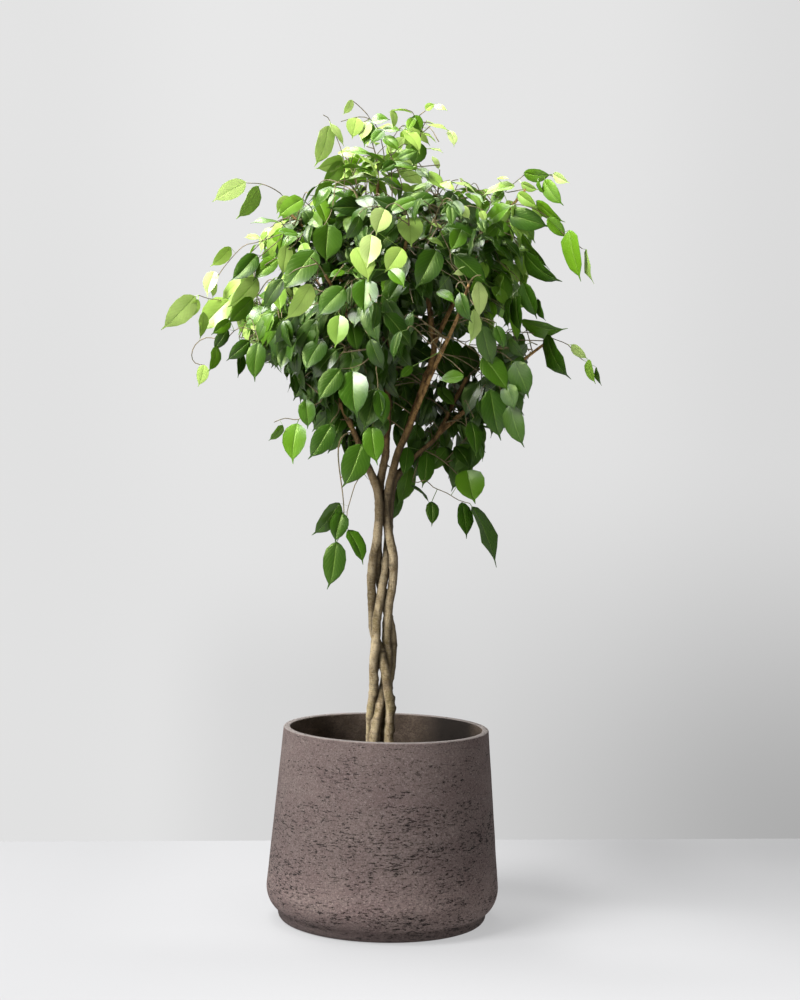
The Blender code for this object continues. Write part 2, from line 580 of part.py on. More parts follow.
def twig_stops(route, leaves):
    """Where the twig's rings go: a close pair at every leaf, the last one near the tip."""
    lengths = [0]
    for a, b in zip(route, route[1:]):
        lengths.append(lengths[-1] + (b - a).length)
    total = lengths[-1]
    first = min(0.3 * total, 0.03)
    spots = [0.0]
    for i in range(leaves):
        spot = first + (total - LEAF_NODE_LENGTH * 1.5 - first) * i / (leaves - 1)
        spots += [spot - LEAF_NODE_LENGTH / 2, spot + LEAF_NODE_LENGTH / 2]
    stops = []
    for spot in spots:
        index = max(i for i, length in enumerate(lengths) if length <= spot or i == 0)
        index = min(index, len(route) - 2)
        part = (spot - lengths[index]) / (lengths[index + 1] - lengths[index])
        stops.append(route[index].lerp(route[index + 1], part))
    return stops


def side_triangle(bm, low, high, out):
    """One triangle of the twig's side, between two rings, on the side that faces out."""
    middle = (low + high) / 2
    near = [f for f in bm.faces if len(f.verts) == 4 and (f.calc_center_median() - middle).length < LEAF_NODE_LENGTH]
    face = max(near, key=lambda f: f.normal.dot(out))
    halves = bmesh.ops.triangulate(bm, faces=[face])["faces"]
    return min(halves, key=lambda f: f.calc_center_median().z)


def grow_leaves(number, shoot, bm, stops, placed):
    """Alternate leaves along the twig, each turned until it is clear of everything else."""
    chance = random.Random(1000 + number)
    grown = 0
    bm.normal_update()
    for i in range(shoot.leaves):
        low, high = stops[2 * i + 1], stops[2 * i + 2]
        along = (high - low).normalized()
        sideways = along.cross(UP)
        sideways = sideways.normalized() if sideways.length > 0.2 else Vector((1, 0, 0))
        for attempt in range(LEAF_TRIES):
            turn = (-1) ** i * (1 if attempt < LEAF_TRIES // 2 else -1)
            spin = Matrix.Rotation(chance.uniform(-0.9, 0.9), 3, along)
            out = (spin @ (sideways * turn)).normalized()
            base = (low + high) / 2 + out * TWIG_RADIUS
            state = chance.getstate()
            sections = leaf_sections(shoot, base, along, out, chance, 0)
            chance.setstate(state)
            tree, points = sections_tree(leaf_sections(shoot, base, along, out, chance, LEAF_CLEARANCE), base)
            if touches(tree, points, placed):
                continue
            extrude_leaf(bm, side_triangle(bm, low, high, out), sections)
            placed.append(boxed(tree, points))
            grown += 1
            break
    return grown


def make_plant(parent):
    """The stems, branches and shoots, and the stems' routes for the soil's pits."""
    bark = finish("bark", (0.30, 0.235, 0.165), 0.8)
    old_leaf = finish("leaf_green", (0.035, 0.13, 0.025), 0.35)
    young_leaf = finish("leaf_lime", (0.22, 0.42, 0.05), 0.4)
    routes = plaited(STEM_ROUTES)
    wood = {}
    placed = []
    for name, route in routes.items():
        bm = tube(route, [stem_radius(name, p.z) for p in route], STEM_SIDES, UP)
        wood[name] = (route, tree_of(bm))
        placed.append(boxed(wood[name][1], [v.co.copy() for v in bm.verts]))
        add_object(name, bm, bark, parent)
    for name, branch in BRANCHES.items():
        make_branch(name, branch, wood, bark, parent)
        points = [p + offset for p in wood[name][0] for offset in (Vector([0.006] * 3), Vector([-0.006] * 3))]
        if touches(wood[name][1], points, placed):
            print(f"{name} touches other wood")
        placed.append(boxed(wood[name][1], points))
    twigs = [plan_twig(number, shoot, wood, placed) for number, shoot in enumerate(SHOOTS, 1)]
    grown = 0
    for number, (shoot, (bm, stops, _)) in enumerate(zip(SHOOTS, twigs), 1):
        grown += grow_leaves(number, shoot, bm, stops, placed)
        leaf = young_leaf if shoot.youth > 0.5 else old_leaf
        add_object(f"shoot_{number:02d}", bm, leaf, parent)
    print(f"{grown} leaves on {len(SHOOTS)} shoots")
    return routes


def main():
    clear_scene()
    plant_pot = bpy.data.objects.new("potted_weeping_fig", None)
    bpy.context.scene.collection.objects.link(plant_pot)
    make_planter(plant_pot)
    make_nursery_pot(plant_pot)
    routes = make_plant(plant_pot)
    make_soil(plant_pot, routes)


main()
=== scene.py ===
import json
import math
import random
from collections import namedtuple
from itertools import accumulate

import bmesh
import bpy
from mathutils import Matrix, Vector, noise
from mathutils.kdtree import KDTree

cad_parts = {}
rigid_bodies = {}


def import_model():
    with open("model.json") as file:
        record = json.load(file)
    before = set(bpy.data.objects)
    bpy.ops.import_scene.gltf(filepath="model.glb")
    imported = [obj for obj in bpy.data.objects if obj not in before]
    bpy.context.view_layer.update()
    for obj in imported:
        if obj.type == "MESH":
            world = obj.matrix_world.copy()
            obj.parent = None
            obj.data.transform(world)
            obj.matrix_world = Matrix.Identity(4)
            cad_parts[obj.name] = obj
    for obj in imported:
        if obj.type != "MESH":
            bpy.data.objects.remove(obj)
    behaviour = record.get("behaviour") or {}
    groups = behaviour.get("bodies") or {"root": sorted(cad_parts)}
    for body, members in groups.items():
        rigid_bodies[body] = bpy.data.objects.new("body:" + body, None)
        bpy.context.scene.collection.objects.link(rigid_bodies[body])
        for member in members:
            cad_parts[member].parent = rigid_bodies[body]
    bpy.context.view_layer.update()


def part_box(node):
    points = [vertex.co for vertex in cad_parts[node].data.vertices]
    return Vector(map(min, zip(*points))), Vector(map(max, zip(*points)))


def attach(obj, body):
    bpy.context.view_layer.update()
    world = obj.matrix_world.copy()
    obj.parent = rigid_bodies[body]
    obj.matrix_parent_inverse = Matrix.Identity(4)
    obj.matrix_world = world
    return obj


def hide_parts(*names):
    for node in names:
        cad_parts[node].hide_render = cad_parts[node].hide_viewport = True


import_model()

scene = bpy.context.scene


# The camera looks at the plant from the height of its crown's underside, tipped down a little
# and rolled slightly, as a hand-levelled camera is.
CAMERA_PLACE = (0.0118, -2.90, 0.722)
CAMERA_PITCH = math.radians(90 - 1.97)
CAMERA_ROLL = math.radians(1.45)
camera_data = bpy.data.cameras.new("camera")
camera_data.lens = 70.7
camera_data.sensor_width = 36
camera = bpy.data.objects.new("camera", camera_data)
camera.matrix_world = (
    Matrix.Translation(CAMERA_PLACE)
    @ Matrix.Rotation(CAMERA_PITCH, 4, "X")
    @ Matrix.Rotation(CAMERA_ROLL, 4, "Z")
)
scene.collection.objects.link(camera)
scene.camera = camera
scene.view_settings.view_transform = "Standard"


# Five square soft boxes light the plant: the key high on the left, a low one beside it, one over
# the crown's left front, one above and behind, and a weak fill at the right that nothing mirrors.
def soft_box(name, place, aim, size, energy, mirrored=True):
    light = bpy.data.lights.new(name, "AREA")
    light.size = size
    light.energy = energy
    box = bpy.data.objects.new(name, light)
    facing = (Vector(aim) - Vector(place)).to_track_quat("-Z", "Y")
    box.matrix_world = Matrix.Translation(place) @ facing.to_matrix().to_4x4()
    box.visible_glossy = mirrored
    scene.collection.objects.link(box)


soft_box("key_box", (-2.10, -1.55, 2.90), (0, 0, 0.60), 1.7, 170)
soft_box("window_box", (-2.4, -1.8, 1.35), (0, 0, 0.95), 1.6, 20)
soft_box("crown_box", (-1.5, -1.1, 2.7), (0, 0, 1.0), 1.0, 85)
soft_box("top_box", (-0.5, 0.5, 3.2), (0, 0, 0.8), 1.6, 110)
soft_box("fill_box", (1.4, -2.3, 0.9), (0.05, 0, 0.75), 1.2, 16, mirrored=False)


# The floor is a pale sheet that ends in a straight line behind the planter. It has a painted glow of its
# own, with painted light stronger in front and in pools beside the planter and at the far back right, and
# painted shadow at the back right, where the plant keeps the light off it, and just behind the planter on
# the right.
FLOOR_SPREAD = 7.0
FLOOR_BACK = 0.556
FLOOR_DROP = 0.0002
FLOOR_TURN = math.radians(8)
FLOOR_GREY = (0.11, 0.11, 0.112)
FLOOR_GLOW_COLOUR = (1, 1, 1.01)
FLOOR_GLOW = 0.430
# Painted light and painted shadow on the floor: each patch is its strength and its soft ends across and
# onward.
FLOOR_PAINTED_LIGHT_AND_SHADE = (
    (-0.175, [(0.05, 0.60)], [(-0.10, 0.60)]),
    (0.130, [(-0.50, 0.10)], [(0.10, -0.50)]),
    (-0.050, [(0.12, 0.18), (0.36, 0.24)], [(0.08, 0.22), (0.50, 0.30)]),
    (0.050, [(-0.50, -0.26), (-0.04, -0.14)], [(-0.27, -0.09)]),
    (0.062, [(0.20, 0.32), (0.66, 0.38)], [(-0.32, -0.13), (0.17, 0.03)]),
    (0.080, [(0.42, 0.62), (3.0, 2.0)], [(0.12, 0.46)]),
)


class Nodes:
    """The nodes of a material or a world, with short calls that add and join them."""

    def __init__(self, owner):
        owner.use_nodes = True
        self.tree = owner.node_tree

    def feed(self, socket, value):
        """Joins a socket to another node's output, or gives it a number or a colour."""
        if isinstance(value, bpy.types.NodeSocket):
            self.tree.links.new(value, socket)
        else:
            socket.default_value = (*value, 1) if socket.type == "RGBA" else value

    def node(self, kind, *inputs, **named_inputs):
        made = self.tree.nodes.new("ShaderNode" + kind)
        for socket, value in zip(made.inputs, inputs):
            self.feed(socket, value)
        for name, value in named_inputs.items():
            self.feed(made.inputs[name], value)
        return made

    def maths(self, kind, first, second=0.0):
        made = self.node("Math", first, second)
        made.operation = kind
        return made.outputs[0]

    def product(self, first, *others):
        for other in others:
            first = self.maths("MULTIPLY", first, other)
        return first

    def ramp(self, value, low, high, bottom=0, top=1):
        """From bottom to top, evenly, as the value goes from low to high."""
        return self.node("MapRange", value, low, high, bottom, top).outputs[0]

    def band(self, value, low, high, bottom=0, top=1):
        """A ramp that sets off and arrives softly."""
        made = self.node("MapRange", value, low, high, bottom, top)
        made.interpolation_type = "SMOOTHSTEP"
        return made.outputs[0]

    def patched(self, level, across, onward, patches):
        """A level with patches added. A patch is its strength and its soft ends across and onward,
        each end as where it starts and where it is full."""
        for strength, *ends in patches:
            for place, pairs in zip((across, onward), ends):
                strength = self.product(strength, *(self.band(place, *pair) for pair in pairs))
            level = self.maths("ADD", level, strength)
        return level


class Surface(Nodes):
    """A material made of one Principled BSDF and patterns in object coordinates."""

    def __init__(self, name):
        self.material = bpy.data.materials.new(name)
        super().__init__(self.material)
        self.shader = self.tree.nodes["Principled BSDF"]

    def axes(self):
        return self.node("SeparateXYZ", self.node("TexCoord").outputs["Object"]).outputs

    def grain(self, level, upright, detail=3, rough=0.5):
        """Noise with this many grains to a metre, on the level and upright."""
        place = self.node("TexCoord").outputs["Object"]
        scaled = self.node("Mapping", Vector=place, Scale=(level, level, upright)).outputs["Vector"]
        made = self.node("TexNoise", Vector=scaled, Scale=1, Detail=detail, Roughness=rough)
        return made.outputs["Fac"]

    def attribute(self, name):
        made = self.node("Attribute")
        made.attribute_name = name
        return made.outputs["Fac"]

    def blend(self, share, first, second, kind="MIX"):
        made = self.node("Mix")
        made.data_type = "RGBA"
        made.blend_type = kind
        for index, value in ((0, share), (6, first), (7, second)):
            self.feed(made.inputs[index], value)
        return made.outputs[2]

    def over(self, base, share, strength, colour):
        """A colour laid over the base where the share says, no thicker than the strength."""
        return self.blend(self.product(share, strength), base, colour)

    def relief(self, height, strength, distance):
        made = self.node("Bump", Height=height, Strength=strength, Distance=distance)
        normal = self.shader.inputs["Normal"]
        if normal.is_linked:
            self.feed(made.inputs["Normal"], normal.links[0].from_socket)
        self.feed(normal, made.outputs["Normal"])

    def set(self, **values):
        for key, value in values.items():
            self.feed(self.shader.inputs[key.replace("_", " ")], value)


floor_mesh = bmesh.new()
bmesh.ops.create_grid(floor_mesh, x_segments=1, y_segments=1, size=FLOOR_SPREAD)
bmesh.ops.translate(floor_mesh, verts=floor_mesh.verts, vec=(0, -FLOOR_SPREAD, 0))
bmesh.ops.rotate(
    floor_mesh, verts=floor_mesh.verts, cent=(0, 0, 0), matrix=Matrix.Rotation(FLOOR_TURN, 3, "Z")
)
bmesh.ops.translate(floor_mesh, verts=floor_mesh.verts, vec=(0, FLOOR_BACK, -FLOOR_DROP))
floor_data = bpy.data.meshes.new("floor")
floor_mesh.to_mesh(floor_data)
floor_mesh.free()
floor = bpy.data.objects.new("floor", floor_data)
scene.collection.objects.link(floor)
pale_floor = Surface("pale_floor")
floor_x, floor_y, _ = pale_floor.axes()
# The floor's glow carries its painted light and painted shadow.
pale_floor.set(
    Base_Color=FLOOR_GREY,
    Roughness=0.8,
    Emission_Color=FLOOR_GLOW_COLOUR,
    Emission_Strength=pale_floor.patched(FLOOR_GLOW, floor_x, floor_y, FLOOR_PAINTED_LIGHT_AND_SHADE),
)
floor_data.materials.append(pale_floor.material)


# The backdrop stands beyond the floor: a pale sheet with painted shade, darker to the right and towards the
# floor, most at the lower right, where the crown's shadow is painted, and low beside the planter's left
# side, and with painted light in the middle and at the top. The same world lights the plant as a dim room
# does, dimmer still where it is mirrored.
# Painted shadow and painted light on the backdrop: each patch is its strength and its soft ends across and
# upward.
BACKDROP_PAINTED_LIGHT_AND_SHADE = (
    (-0.280, [(-0.09, 0.21)], [(0.0, -0.20)]),
    (-0.075, [(-0.13, -0.07), (0.05, -0.02)], [(-0.06, -0.14)]),
    (0.028, [(-0.19, -0.08), (0.19, 0.09)], []),
    (0.024, [(-0.19, -0.08), (0.19, 0.09)], [(-0.10, 0.04)]),
    (0.018, [], [(0.0, 0.18)]),
)
BACKDROP_LEFT = 0.770
BACKDROP_RIGHT = 0.682
ROOM_BEHIND_CAMERA = 0.17
ROOM_BEHIND_PLANT = 0.70
ROOM_MIRRORED = 0.25
world = bpy.data.worlds.new("studio")
scene.world = world
room = Nodes(world)
heading = room.node("SeparateXYZ", room.node("TexCoord").outputs["Generated"]).outputs
# Painted shade: the backdrop darkens from left to right.
side_to_side = room.ramp(heading["X"], -0.3, 0.3, BACKDROP_LEFT, BACKDROP_RIGHT)
paleness = room.patched(side_to_side, heading["X"], heading["Z"], BACKDROP_PAINTED_LIGHT_AND_SHADE)
backdrop = room.node("Background", Color=paleness)
rays = room.node("LightPath").outputs
lighting = room.tree.nodes["Background"]
room_light = room.band(heading["Y"], -0.1, 0.75, ROOM_BEHIND_CAMERA, ROOM_BEHIND_PLANT)
room.feed(lighting.inputs["Color"], room_light)
room.feed(lighting.inputs["Strength"], room.ramp(rays["Is Glossy Ray"], 0, 1, 1.0, ROOM_MIRRORED))
seen = room.node("MixShader", rays["Is Camera Ray"], lighting.outputs[0], backdrop.outputs[0])
room.feed(room.tree.nodes["World Output"].inputs["Surface"], seen.outputs["Shader"])


# The planter is one turned shell of fibre-cement: a recessed foot, a rounded belly, near-straight
# sides and a flat rim. Air caught against the mould left shallow pits drawn out sideways, thickest
# across the lower middle, and the cement's colour drifts from mauve-brown to grey.
PLANTER_HEIGHT = 0.285
PLANTER_SIDES = 336
PLANTER_WALL = 0.010
PLANTER_FLOOR = 0.022
INNER_CORNER = 0.022
RIM_RADIUS = 0.152
RIM_ROUNDING = 0.0025
SIDE_ROWS = 190
BELLY_RADIUS = 0.172
BELLY_HEIGHT = 0.050
BELLY_DROP = 0.036
BELLY_TUCK = 0.026
BELLY_START = 28
BELLY_ROWS = 30
FOOT_RADIUS = 0.1545
FOOT_ROUNDING = 0.0105
FOOT_SLOPE = (0.0002, 0.0012)
FOOT_CREASE = 0.0165
PLANTER_TAPER = (BELLY_RADIUS - RIM_RADIUS) / (PLANTER_HEIGHT - BELLY_HEIGHT)
PIT_DEPTH = 0.0011
WAVE_DEPTH = 0.0004
PITTED_HEIGHT = 0.105
PITTED_SPREAD = 0.085
CEMENT_MAUVE = (0.111, 0.079, 0.074)
CEMENT_GREY = (0.132, 0.099, 0.090)
CEMENT_STAIN = (0.138, 0.109, 0.099)
CEMENT_SPECK = (0.062, 0.045, 0.042)
CEMENT_GLINT = (0.230, 0.190, 0.176)
CEMENT_PAINTED_LOW_LIGHT = (1.36, 1.34, 1.34)
PIT_PAINTED_SHADE = (0.009, 0.006, 0.005)
FOOT_PAINTED_SHADE = (0.042, 0.032, 0.030)
INSIDE_DARK = (0.062, 0.044, 0.030)
INSIDE_LIGHT = (0.110, 0.080, 0.060)
INSIDE_SPECKS_AND_SHADE = (0.020, 0.015, 0.012)
RIM_PAINTED_LIGHT = (0.215, 0.197, 0.184)


def show(name, bm, materials, replaced, sharp=40):
    """The finished mesh as a named piece on the plant's one body."""
    mesh = bpy.data.meshes.new(name)
    bm.to_mesh(mesh)
    bm.free()
    for material in materials:
        mesh.materials.append(material)
    mesh.shade_smooth()
    mesh.set_sharp_from_angle(angle=math.radians(sharp))
    piece = bpy.data.objects.new(name, mesh)
    scene.collection.objects.link(piece)
    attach(piece, "root")
    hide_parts(replaced)


def arc(centre, radius, start, end, steps):
    angles = [math.radians(start + (end - start) * i / steps) for i in range(steps + 1)]
    return [(centre[0] + radius * math.cos(a), centre[1] + radius * math.sin(a)) for a in angles]


def turned(profile, sides):
    """A closed shell of revolution from a profile that starts and ends on the axis."""
    bm = bmesh.new()
    points = [bm.verts.new((radius, 0, height)) for radius, height in profile]
    edges = [bm.edges.new(pair) for pair in zip(points, points[1:])]
    bmesh.ops.spin(
        bm, geom=points + edges, cent=(0, 0, 0), axis=(0, 0, 1), angle=math.tau, steps=sides, use_merge=True
    )
    bmesh.ops.remove_doubles(bm, verts=bm.verts, dist=1e-6)
    bmesh.ops.recalc_face_normals(bm, faces=bm.faces)
    return bm


def planter_profile():
    rim_arc = PLANTER_HEIGHT - RIM_ROUNDING
    inner_rim = RIM_RADIUS - PLANTER_WALL
    inner_low = PLANTER_FLOOR + INNER_CORNER
    corner_radius = inner_rim + PLANTER_TAPER * (PLANTER_HEIGHT - inner_low)
    slope_out, slope_up = FOOT_SLOPE
    profile = [(0, 0)]
    profile += arc((FOOT_RADIUS - FOOT_ROUNDING, FOOT_ROUNDING), FOOT_ROUNDING, -90, 0, 6)
    profile += [(FOOT_RADIUS + slope_out * i, FOOT_ROUNDING + slope_up * i) for i in range(1, 5)]
    profile.append((FOOT_RADIUS + slope_out * 5, FOOT_CREASE))
    for i in range(BELLY_ROWS + 1):
        turn = math.radians(BELLY_START + (90 - BELLY_START) * i / BELLY_ROWS)
        radius = BELLY_RADIUS - BELLY_TUCK * (1 - math.sin(turn))
        profile.append((radius, BELLY_HEIGHT - BELLY_DROP * math.cos(turn)))
    widening = RIM_RADIUS + PLANTER_TAPER * RIM_ROUNDING - BELLY_RADIUS
    for i in range(1, SIDE_ROWS):
        height = BELLY_HEIGHT + (rim_arc - BELLY_HEIGHT) * i / SIDE_ROWS
        profile.append((BELLY_RADIUS + widening * i / SIDE_ROWS, height))
    profile += arc((RIM_RADIUS - RIM_ROUNDING, rim_arc), RIM_ROUNDING, 4, 90, 4)
    profile += arc((inner_rim + RIM_ROUNDING, rim_arc), RIM_ROUNDING, 90, 175, 4)
    for i in range(1, 13):
        height = rim_arc - (rim_arc - inner_low) * i / 12
        profile.append((inner_rim + PLANTER_TAPER * (PLANTER_HEIGHT - height), height))
    profile += [
        (corner_radius - 0.006, PLANTER_FLOOR + 0.007),
        (corner_radius - 0.022, PLANTER_FLOOR),
        (0.06, PLANTER_FLOOR),
        (0, PLANTER_FLOOR),
    ]
    return profile


def pit_share(place):
    """How deep the cement is pitted here, from 0 to 1."""
    x, y, z = place
    patch = noise.noise((x * 13, y * 13, z * 19 + 4)) + 0.5 * noise.noise((x * 31, y * 31, z * 55))
    thickest = math.exp(-((z - PITTED_HEIGHT) / PITTED_SPREAD) ** 2)
    need = 0.70 - 0.25 * thickest - 0.30 * patch
    streak = noise.noise((x * 130 + 7, y * 130, z * 620)) + 0.35 * noise.noise((x * 330, y * 330, z * 700))
    return min(1, max(0, (streak - need) / 0.20))


planter_shell = turned(planter_profile(), PLANTER_SIDES)
pitted = planter_shell.verts.layers.float.new("pit")
inner = planter_shell.verts.layers.float.new("inner")
rim = planter_shell.verts.layers.float.new("rim")
for vert in planter_shell.verts:
    outward = Vector((vert.co.x, vert.co.y, 0))
    mid_wall = RIM_RADIUS - PLANTER_WALL / 2 + PLANTER_TAPER * (PLANTER_HEIGHT - vert.co.z)
    inside = outward.length < mid_wall and PLANTER_FLOOR - 0.001 < vert.co.z < PLANTER_HEIGHT - 0.0008
    below_belly = vert.co.z < BELLY_HEIGHT and outward.length > FOOT_RADIUS + 0.0035
    vert[inner] = inside and not below_belly
    vert[rim] = vert.co.z > PLANTER_HEIGHT - 0.0012
    if outward.length > RIM_RADIUS - 0.001 and 0.006 < vert.co.z < PLANTER_HEIGHT - RIM_ROUNDING:
        vert[pitted] = share = pit_share(vert.co)
        wave = min(0, WAVE_DEPTH * (noise.noise(vert.co * 24) - 0.5))
        vert.co += outward.normalized() * (wave - share * PIT_DEPTH)

cement = Surface("fibre_cement")
across, _, height = cement.axes()
drift = cement.band(cement.grain(9, 13, 4, 0.6), 0.35, 0.68)
stain = cement.band(cement.grain(34, 52, 5, 0.65), 0.38, 0.72)
speck = cement.band(cement.grain(330, 400, 5, 0.80), 0.42, 0.60)
glint = cement.band(cement.grain(360, 420, 4, 0.80), 0.54, 0.66)
tone = cement.blend(drift, CEMENT_MAUVE, CEMENT_GREY)
tone = cement.over(tone, stain, 0.55, CEMENT_STAIN)
tone = cement.over(tone, speck, 0.58, CEMENT_SPECK)
tone = cement.over(tone, glint, 0.58, CEMENT_GLINT)
# Painted light: the lower belly, which turns under away from the light, is lightened more towards the foot.
paler = cement.blend(1.0, tone, CEMENT_PAINTED_LOW_LIGHT, "MULTIPLY")
tone = cement.blend(cement.band(height, 0.13, 0.04), tone, paler)
clusters = cement.product(cement.band(cement.grain(10, 40, 5, 0.62), 0.40, 0.60), 0.60)
clusters = cement.maths("ADD", clusters, cement.band(height, 0.27, 0.11, 0, 0.40))


def air_pits(level, upright, detail, rough, gathering, low, high):
    """Small holes drawn out sideways, more of them where they cluster."""
    size = cement.grain(level, upright, detail, rough)
    return cement.ramp(cement.maths("ADD", size, cement.product(clusters, gathering)), low, high)


fine_pits = air_pits(112, 450, 6, 0.72, 0.098, 0.651, 0.655)
fine_pits = cement.maths("MAXIMUM", fine_pits, air_pits(240, 620, 4, 0.70, 0.050, 0.654, 0.660))
fine_pits = cement.maths("MAXIMUM", fine_pits, air_pits(56, 210, 5, 0.70, 0, 0.662, 0.667))
ragged = cement.product(cement.attribute("pit"), cement.band(cement.grain(260, 900, 5, 0.8), 0.40, 0.50))
# Painted shade: the pits are painted near-black, as the shade inside the small hollows.
tone = cement.over(tone, cement.maths("MAXIMUM", ragged, fine_pits), 0.96, PIT_PAINTED_SHADE)
# Painted shade on the foot, under the belly's overhang.
tone = cement.over(tone, cement.band(height, 0.022, 0.012), 0.60, FOOT_PAINTED_SHADE)
# Painted shade on the inner wall in a band towards the right; the same dark colour also marks the inner
# specks.
painted_inner_shade = cement.product(cement.band(across, 0.04, 0.09), cement.band(across, 0.14, 0.12))
inner_tone = cement.blend(stain, INSIDE_DARK, INSIDE_LIGHT)
inner_tone = cement.blend(painted_inner_shade, inner_tone, INSIDE_SPECKS_AND_SHADE)
inner_tone = cement.over(inner_tone, speck, 0.5, INSIDE_SPECKS_AND_SHADE)
tone = cement.blend(cement.attribute("inner"), tone, inner_tone)
# Painted light: the rim's top, which faces the lamps, is lightened.
tone = cement.over(tone, cement.attribute("rim"), 0.6, RIM_PAINTED_LIGHT)
cement.set(Base_Color=tone, Roughness=0.86, Specular_IOR_Level=0.25)
cement.relief(speck, 0.55, 0.0006)
cement.relief(cement.maths("SUBTRACT", 1.0, fine_pits), 1.0, 0.0018)
show("planter_shell", planter_shell, [cement.material], "planter", 50)


# The grower's pot is thin black moulded plastic with a rolled lip and shallow upright ribs. It
# stands loose on the planter's floor, well below the rim.
NURSERY_HEIGHT = 0.185
NURSERY_TOP_RADIUS = 0.118
NURSERY_BASE_RADIUS = 0.092
NURSERY_WALL = 0.0018
NURSERY_CORNER = 0.004
NURSERY_SIDES = 144
NURSERY_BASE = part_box("nursery_pot")[0].z
NURSERY_RIM = NURSERY_BASE + NURSERY_HEIGHT
LIP_STANDS_OUT = 0.0035
LIP_DEPTH = 0.014
RIB_COUNT = 24
RIB_DEPTH = 0.0006
PLASTIC_BLACK = (0.014, 0.014, 0.015)
PLASTIC_SCUFFED = (0.030, 0.029, 0.028)


def nursery_radius(height):
    share = (height - NURSERY_BASE) / NURSERY_HEIGHT
    return NURSERY_BASE_RADIUS + (NURSERY_TOP_RADIUS - NURSERY_BASE_RADIUS) * share


lip_low = NURSERY_RIM - LIP_DEPTH
lip_edge = nursery_radius(NURSERY_RIM) + LIP_STANDS_OUT
inner_top = nursery_radius(NURSERY_RIM) - NURSERY_WALL
floor_top = NURSERY_BASE + NURSERY_WALL
corner_inset = NURSERY_BASE_RADIUS - NURSERY_CORNER
nursery_profile = [(0, NURSERY_BASE), (corner_inset, NURSERY_BASE)]
nursery_profile += arc((corner_inset, NURSERY_BASE + NURSERY_CORNER), NURSERY_CORNER, -60, 0, 3)
nursery_profile += [(nursery_radius(z), z) for z in (0.05, 0.09, 0.13, 0.17, lip_low - 0.002)]
nursery_profile += [(nursery_radius(lip_low), lip_low), (lip_edge - 0.001, lip_low + 0.0006)]
nursery_profile += arc((lip_edge - 0.0012, lip_low + 0.0018), 0.0012, -40, 0, 2)
nursery_profile += arc((lip_edge - 0.0015, NURSERY_RIM - 0.0015), 0.0015, 0, 90, 4)
nursery_profile += [
    (inner_top + 0.0008, NURSERY_RIM),
    (inner_top, NURSERY_RIM - 0.0008),
    (nursery_radius(floor_top) - NURSERY_WALL, floor_top),
    (0, floor_top),
]
nursery = turned(nursery_profile, NURSERY_SIDES)
for vert in nursery.verts:
    outward = Vector((vert.co.x, vert.co.y, 0))
    outside = outward.length > nursery_radius(vert.co.z) - 0.001
    if outside and NURSERY_BASE + 0.003 < vert.co.z < lip_low - 0.001:
        turn = math.atan2(vert.co.y, vert.co.x) * RIB_COUNT
        vert.co -= outward.normalized() * RIB_DEPTH * (0.5 - 0.5 * math.cos(turn))
plastic = Surface("black_plastic")
scuffs = plastic.band(plastic.grain(60, 20, 4, 0.6), 0.45, 0.7)
plastic_tone = plastic.blend(scuffs, PLASTIC_BLACK, PLASTIC_SCUFFED)
plastic.set(Base_Color=plastic_tone, Roughness=plastic.ramp(scuffs, 0, 1, 0.45, 0.7))
plastic.relief(plastic.grain(500, 500, 2), 0.1, 0.0003)
show("grower_pot", nursery, [plastic.material], "nursery_pot", 50)


# The potting soil is dark crumbly peat with bark chips. It fills the grower's pot to just below
# the lip and is mounded slightly towards the stems.
SOIL_BELOW_RIM = 0.013
SOIL_MOUND = 0.0048
SOIL_GAP = 0.0006
SOIL_LIFT = 0.0003
SOIL_SIDES = 120
SOIL_RINGS = 44
MOUND_RINGS = 40
CRUMB_SIZES = ((130, 0.0016), (320, 0.0009))
CRUMBS_SINK = 0.0006
PEAT_DARK = (0.010, 0.0065, 0.0045)
PEAT_LIGHT = (0.050, 0.033, 0.022)
CHIP_BROWN = (0.115, 0.070, 0.040)
SOIL_TOP = NURSERY_RIM - SOIL_BELOW_RIM
soil_edge = nursery_radius(SOIL_TOP) - NURSERY_WALL - SOIL_GAP
soil_base = floor_top + SOIL_LIFT
soil_profile = [
    (0, soil_base),
    (nursery_radius(soil_base) - NURSERY_WALL - SOIL_GAP, soil_base),
    (soil_edge, SOIL_TOP - 0.002),
]
for i in range(SOIL_RINGS):
    soil_profile.append((soil_edge * (1 - i / SOIL_RINGS), SOIL_TOP + SOIL_MOUND * min(1, i / MOUND_RINGS)))
soil_profile.append((0, SOIL_TOP + SOIL_MOUND))
soil = turned(soil_profile, SOIL_SIDES)
for vert in soil.verts:
    if vert.co.z > SOIL_TOP - 0.001:
        vert.co.z += sum(noise.noise(vert.co * grains) * rise for grains, rise in CRUMB_SIZES) - CRUMBS_SINK
peat = Surface("peat")
crumb = peat.band(peat.grain(240, 240, 4, 0.7), 0.35, 0.7)
bark_chips = peat.band(peat.grain(75, 75, 2, 0.5), 0.60, 0.66)
earth = peat.blend(crumb, PEAT_DARK, PEAT_LIGHT)
peat.set(Base_Color=peat.blend(bark_chips, earth, CHIP_BROWN), Roughness=0.95)
peat.relief(crumb, 0.8, 0.0015)
show("soil_surface", soil, [peat.material], "potting_soil", 60)


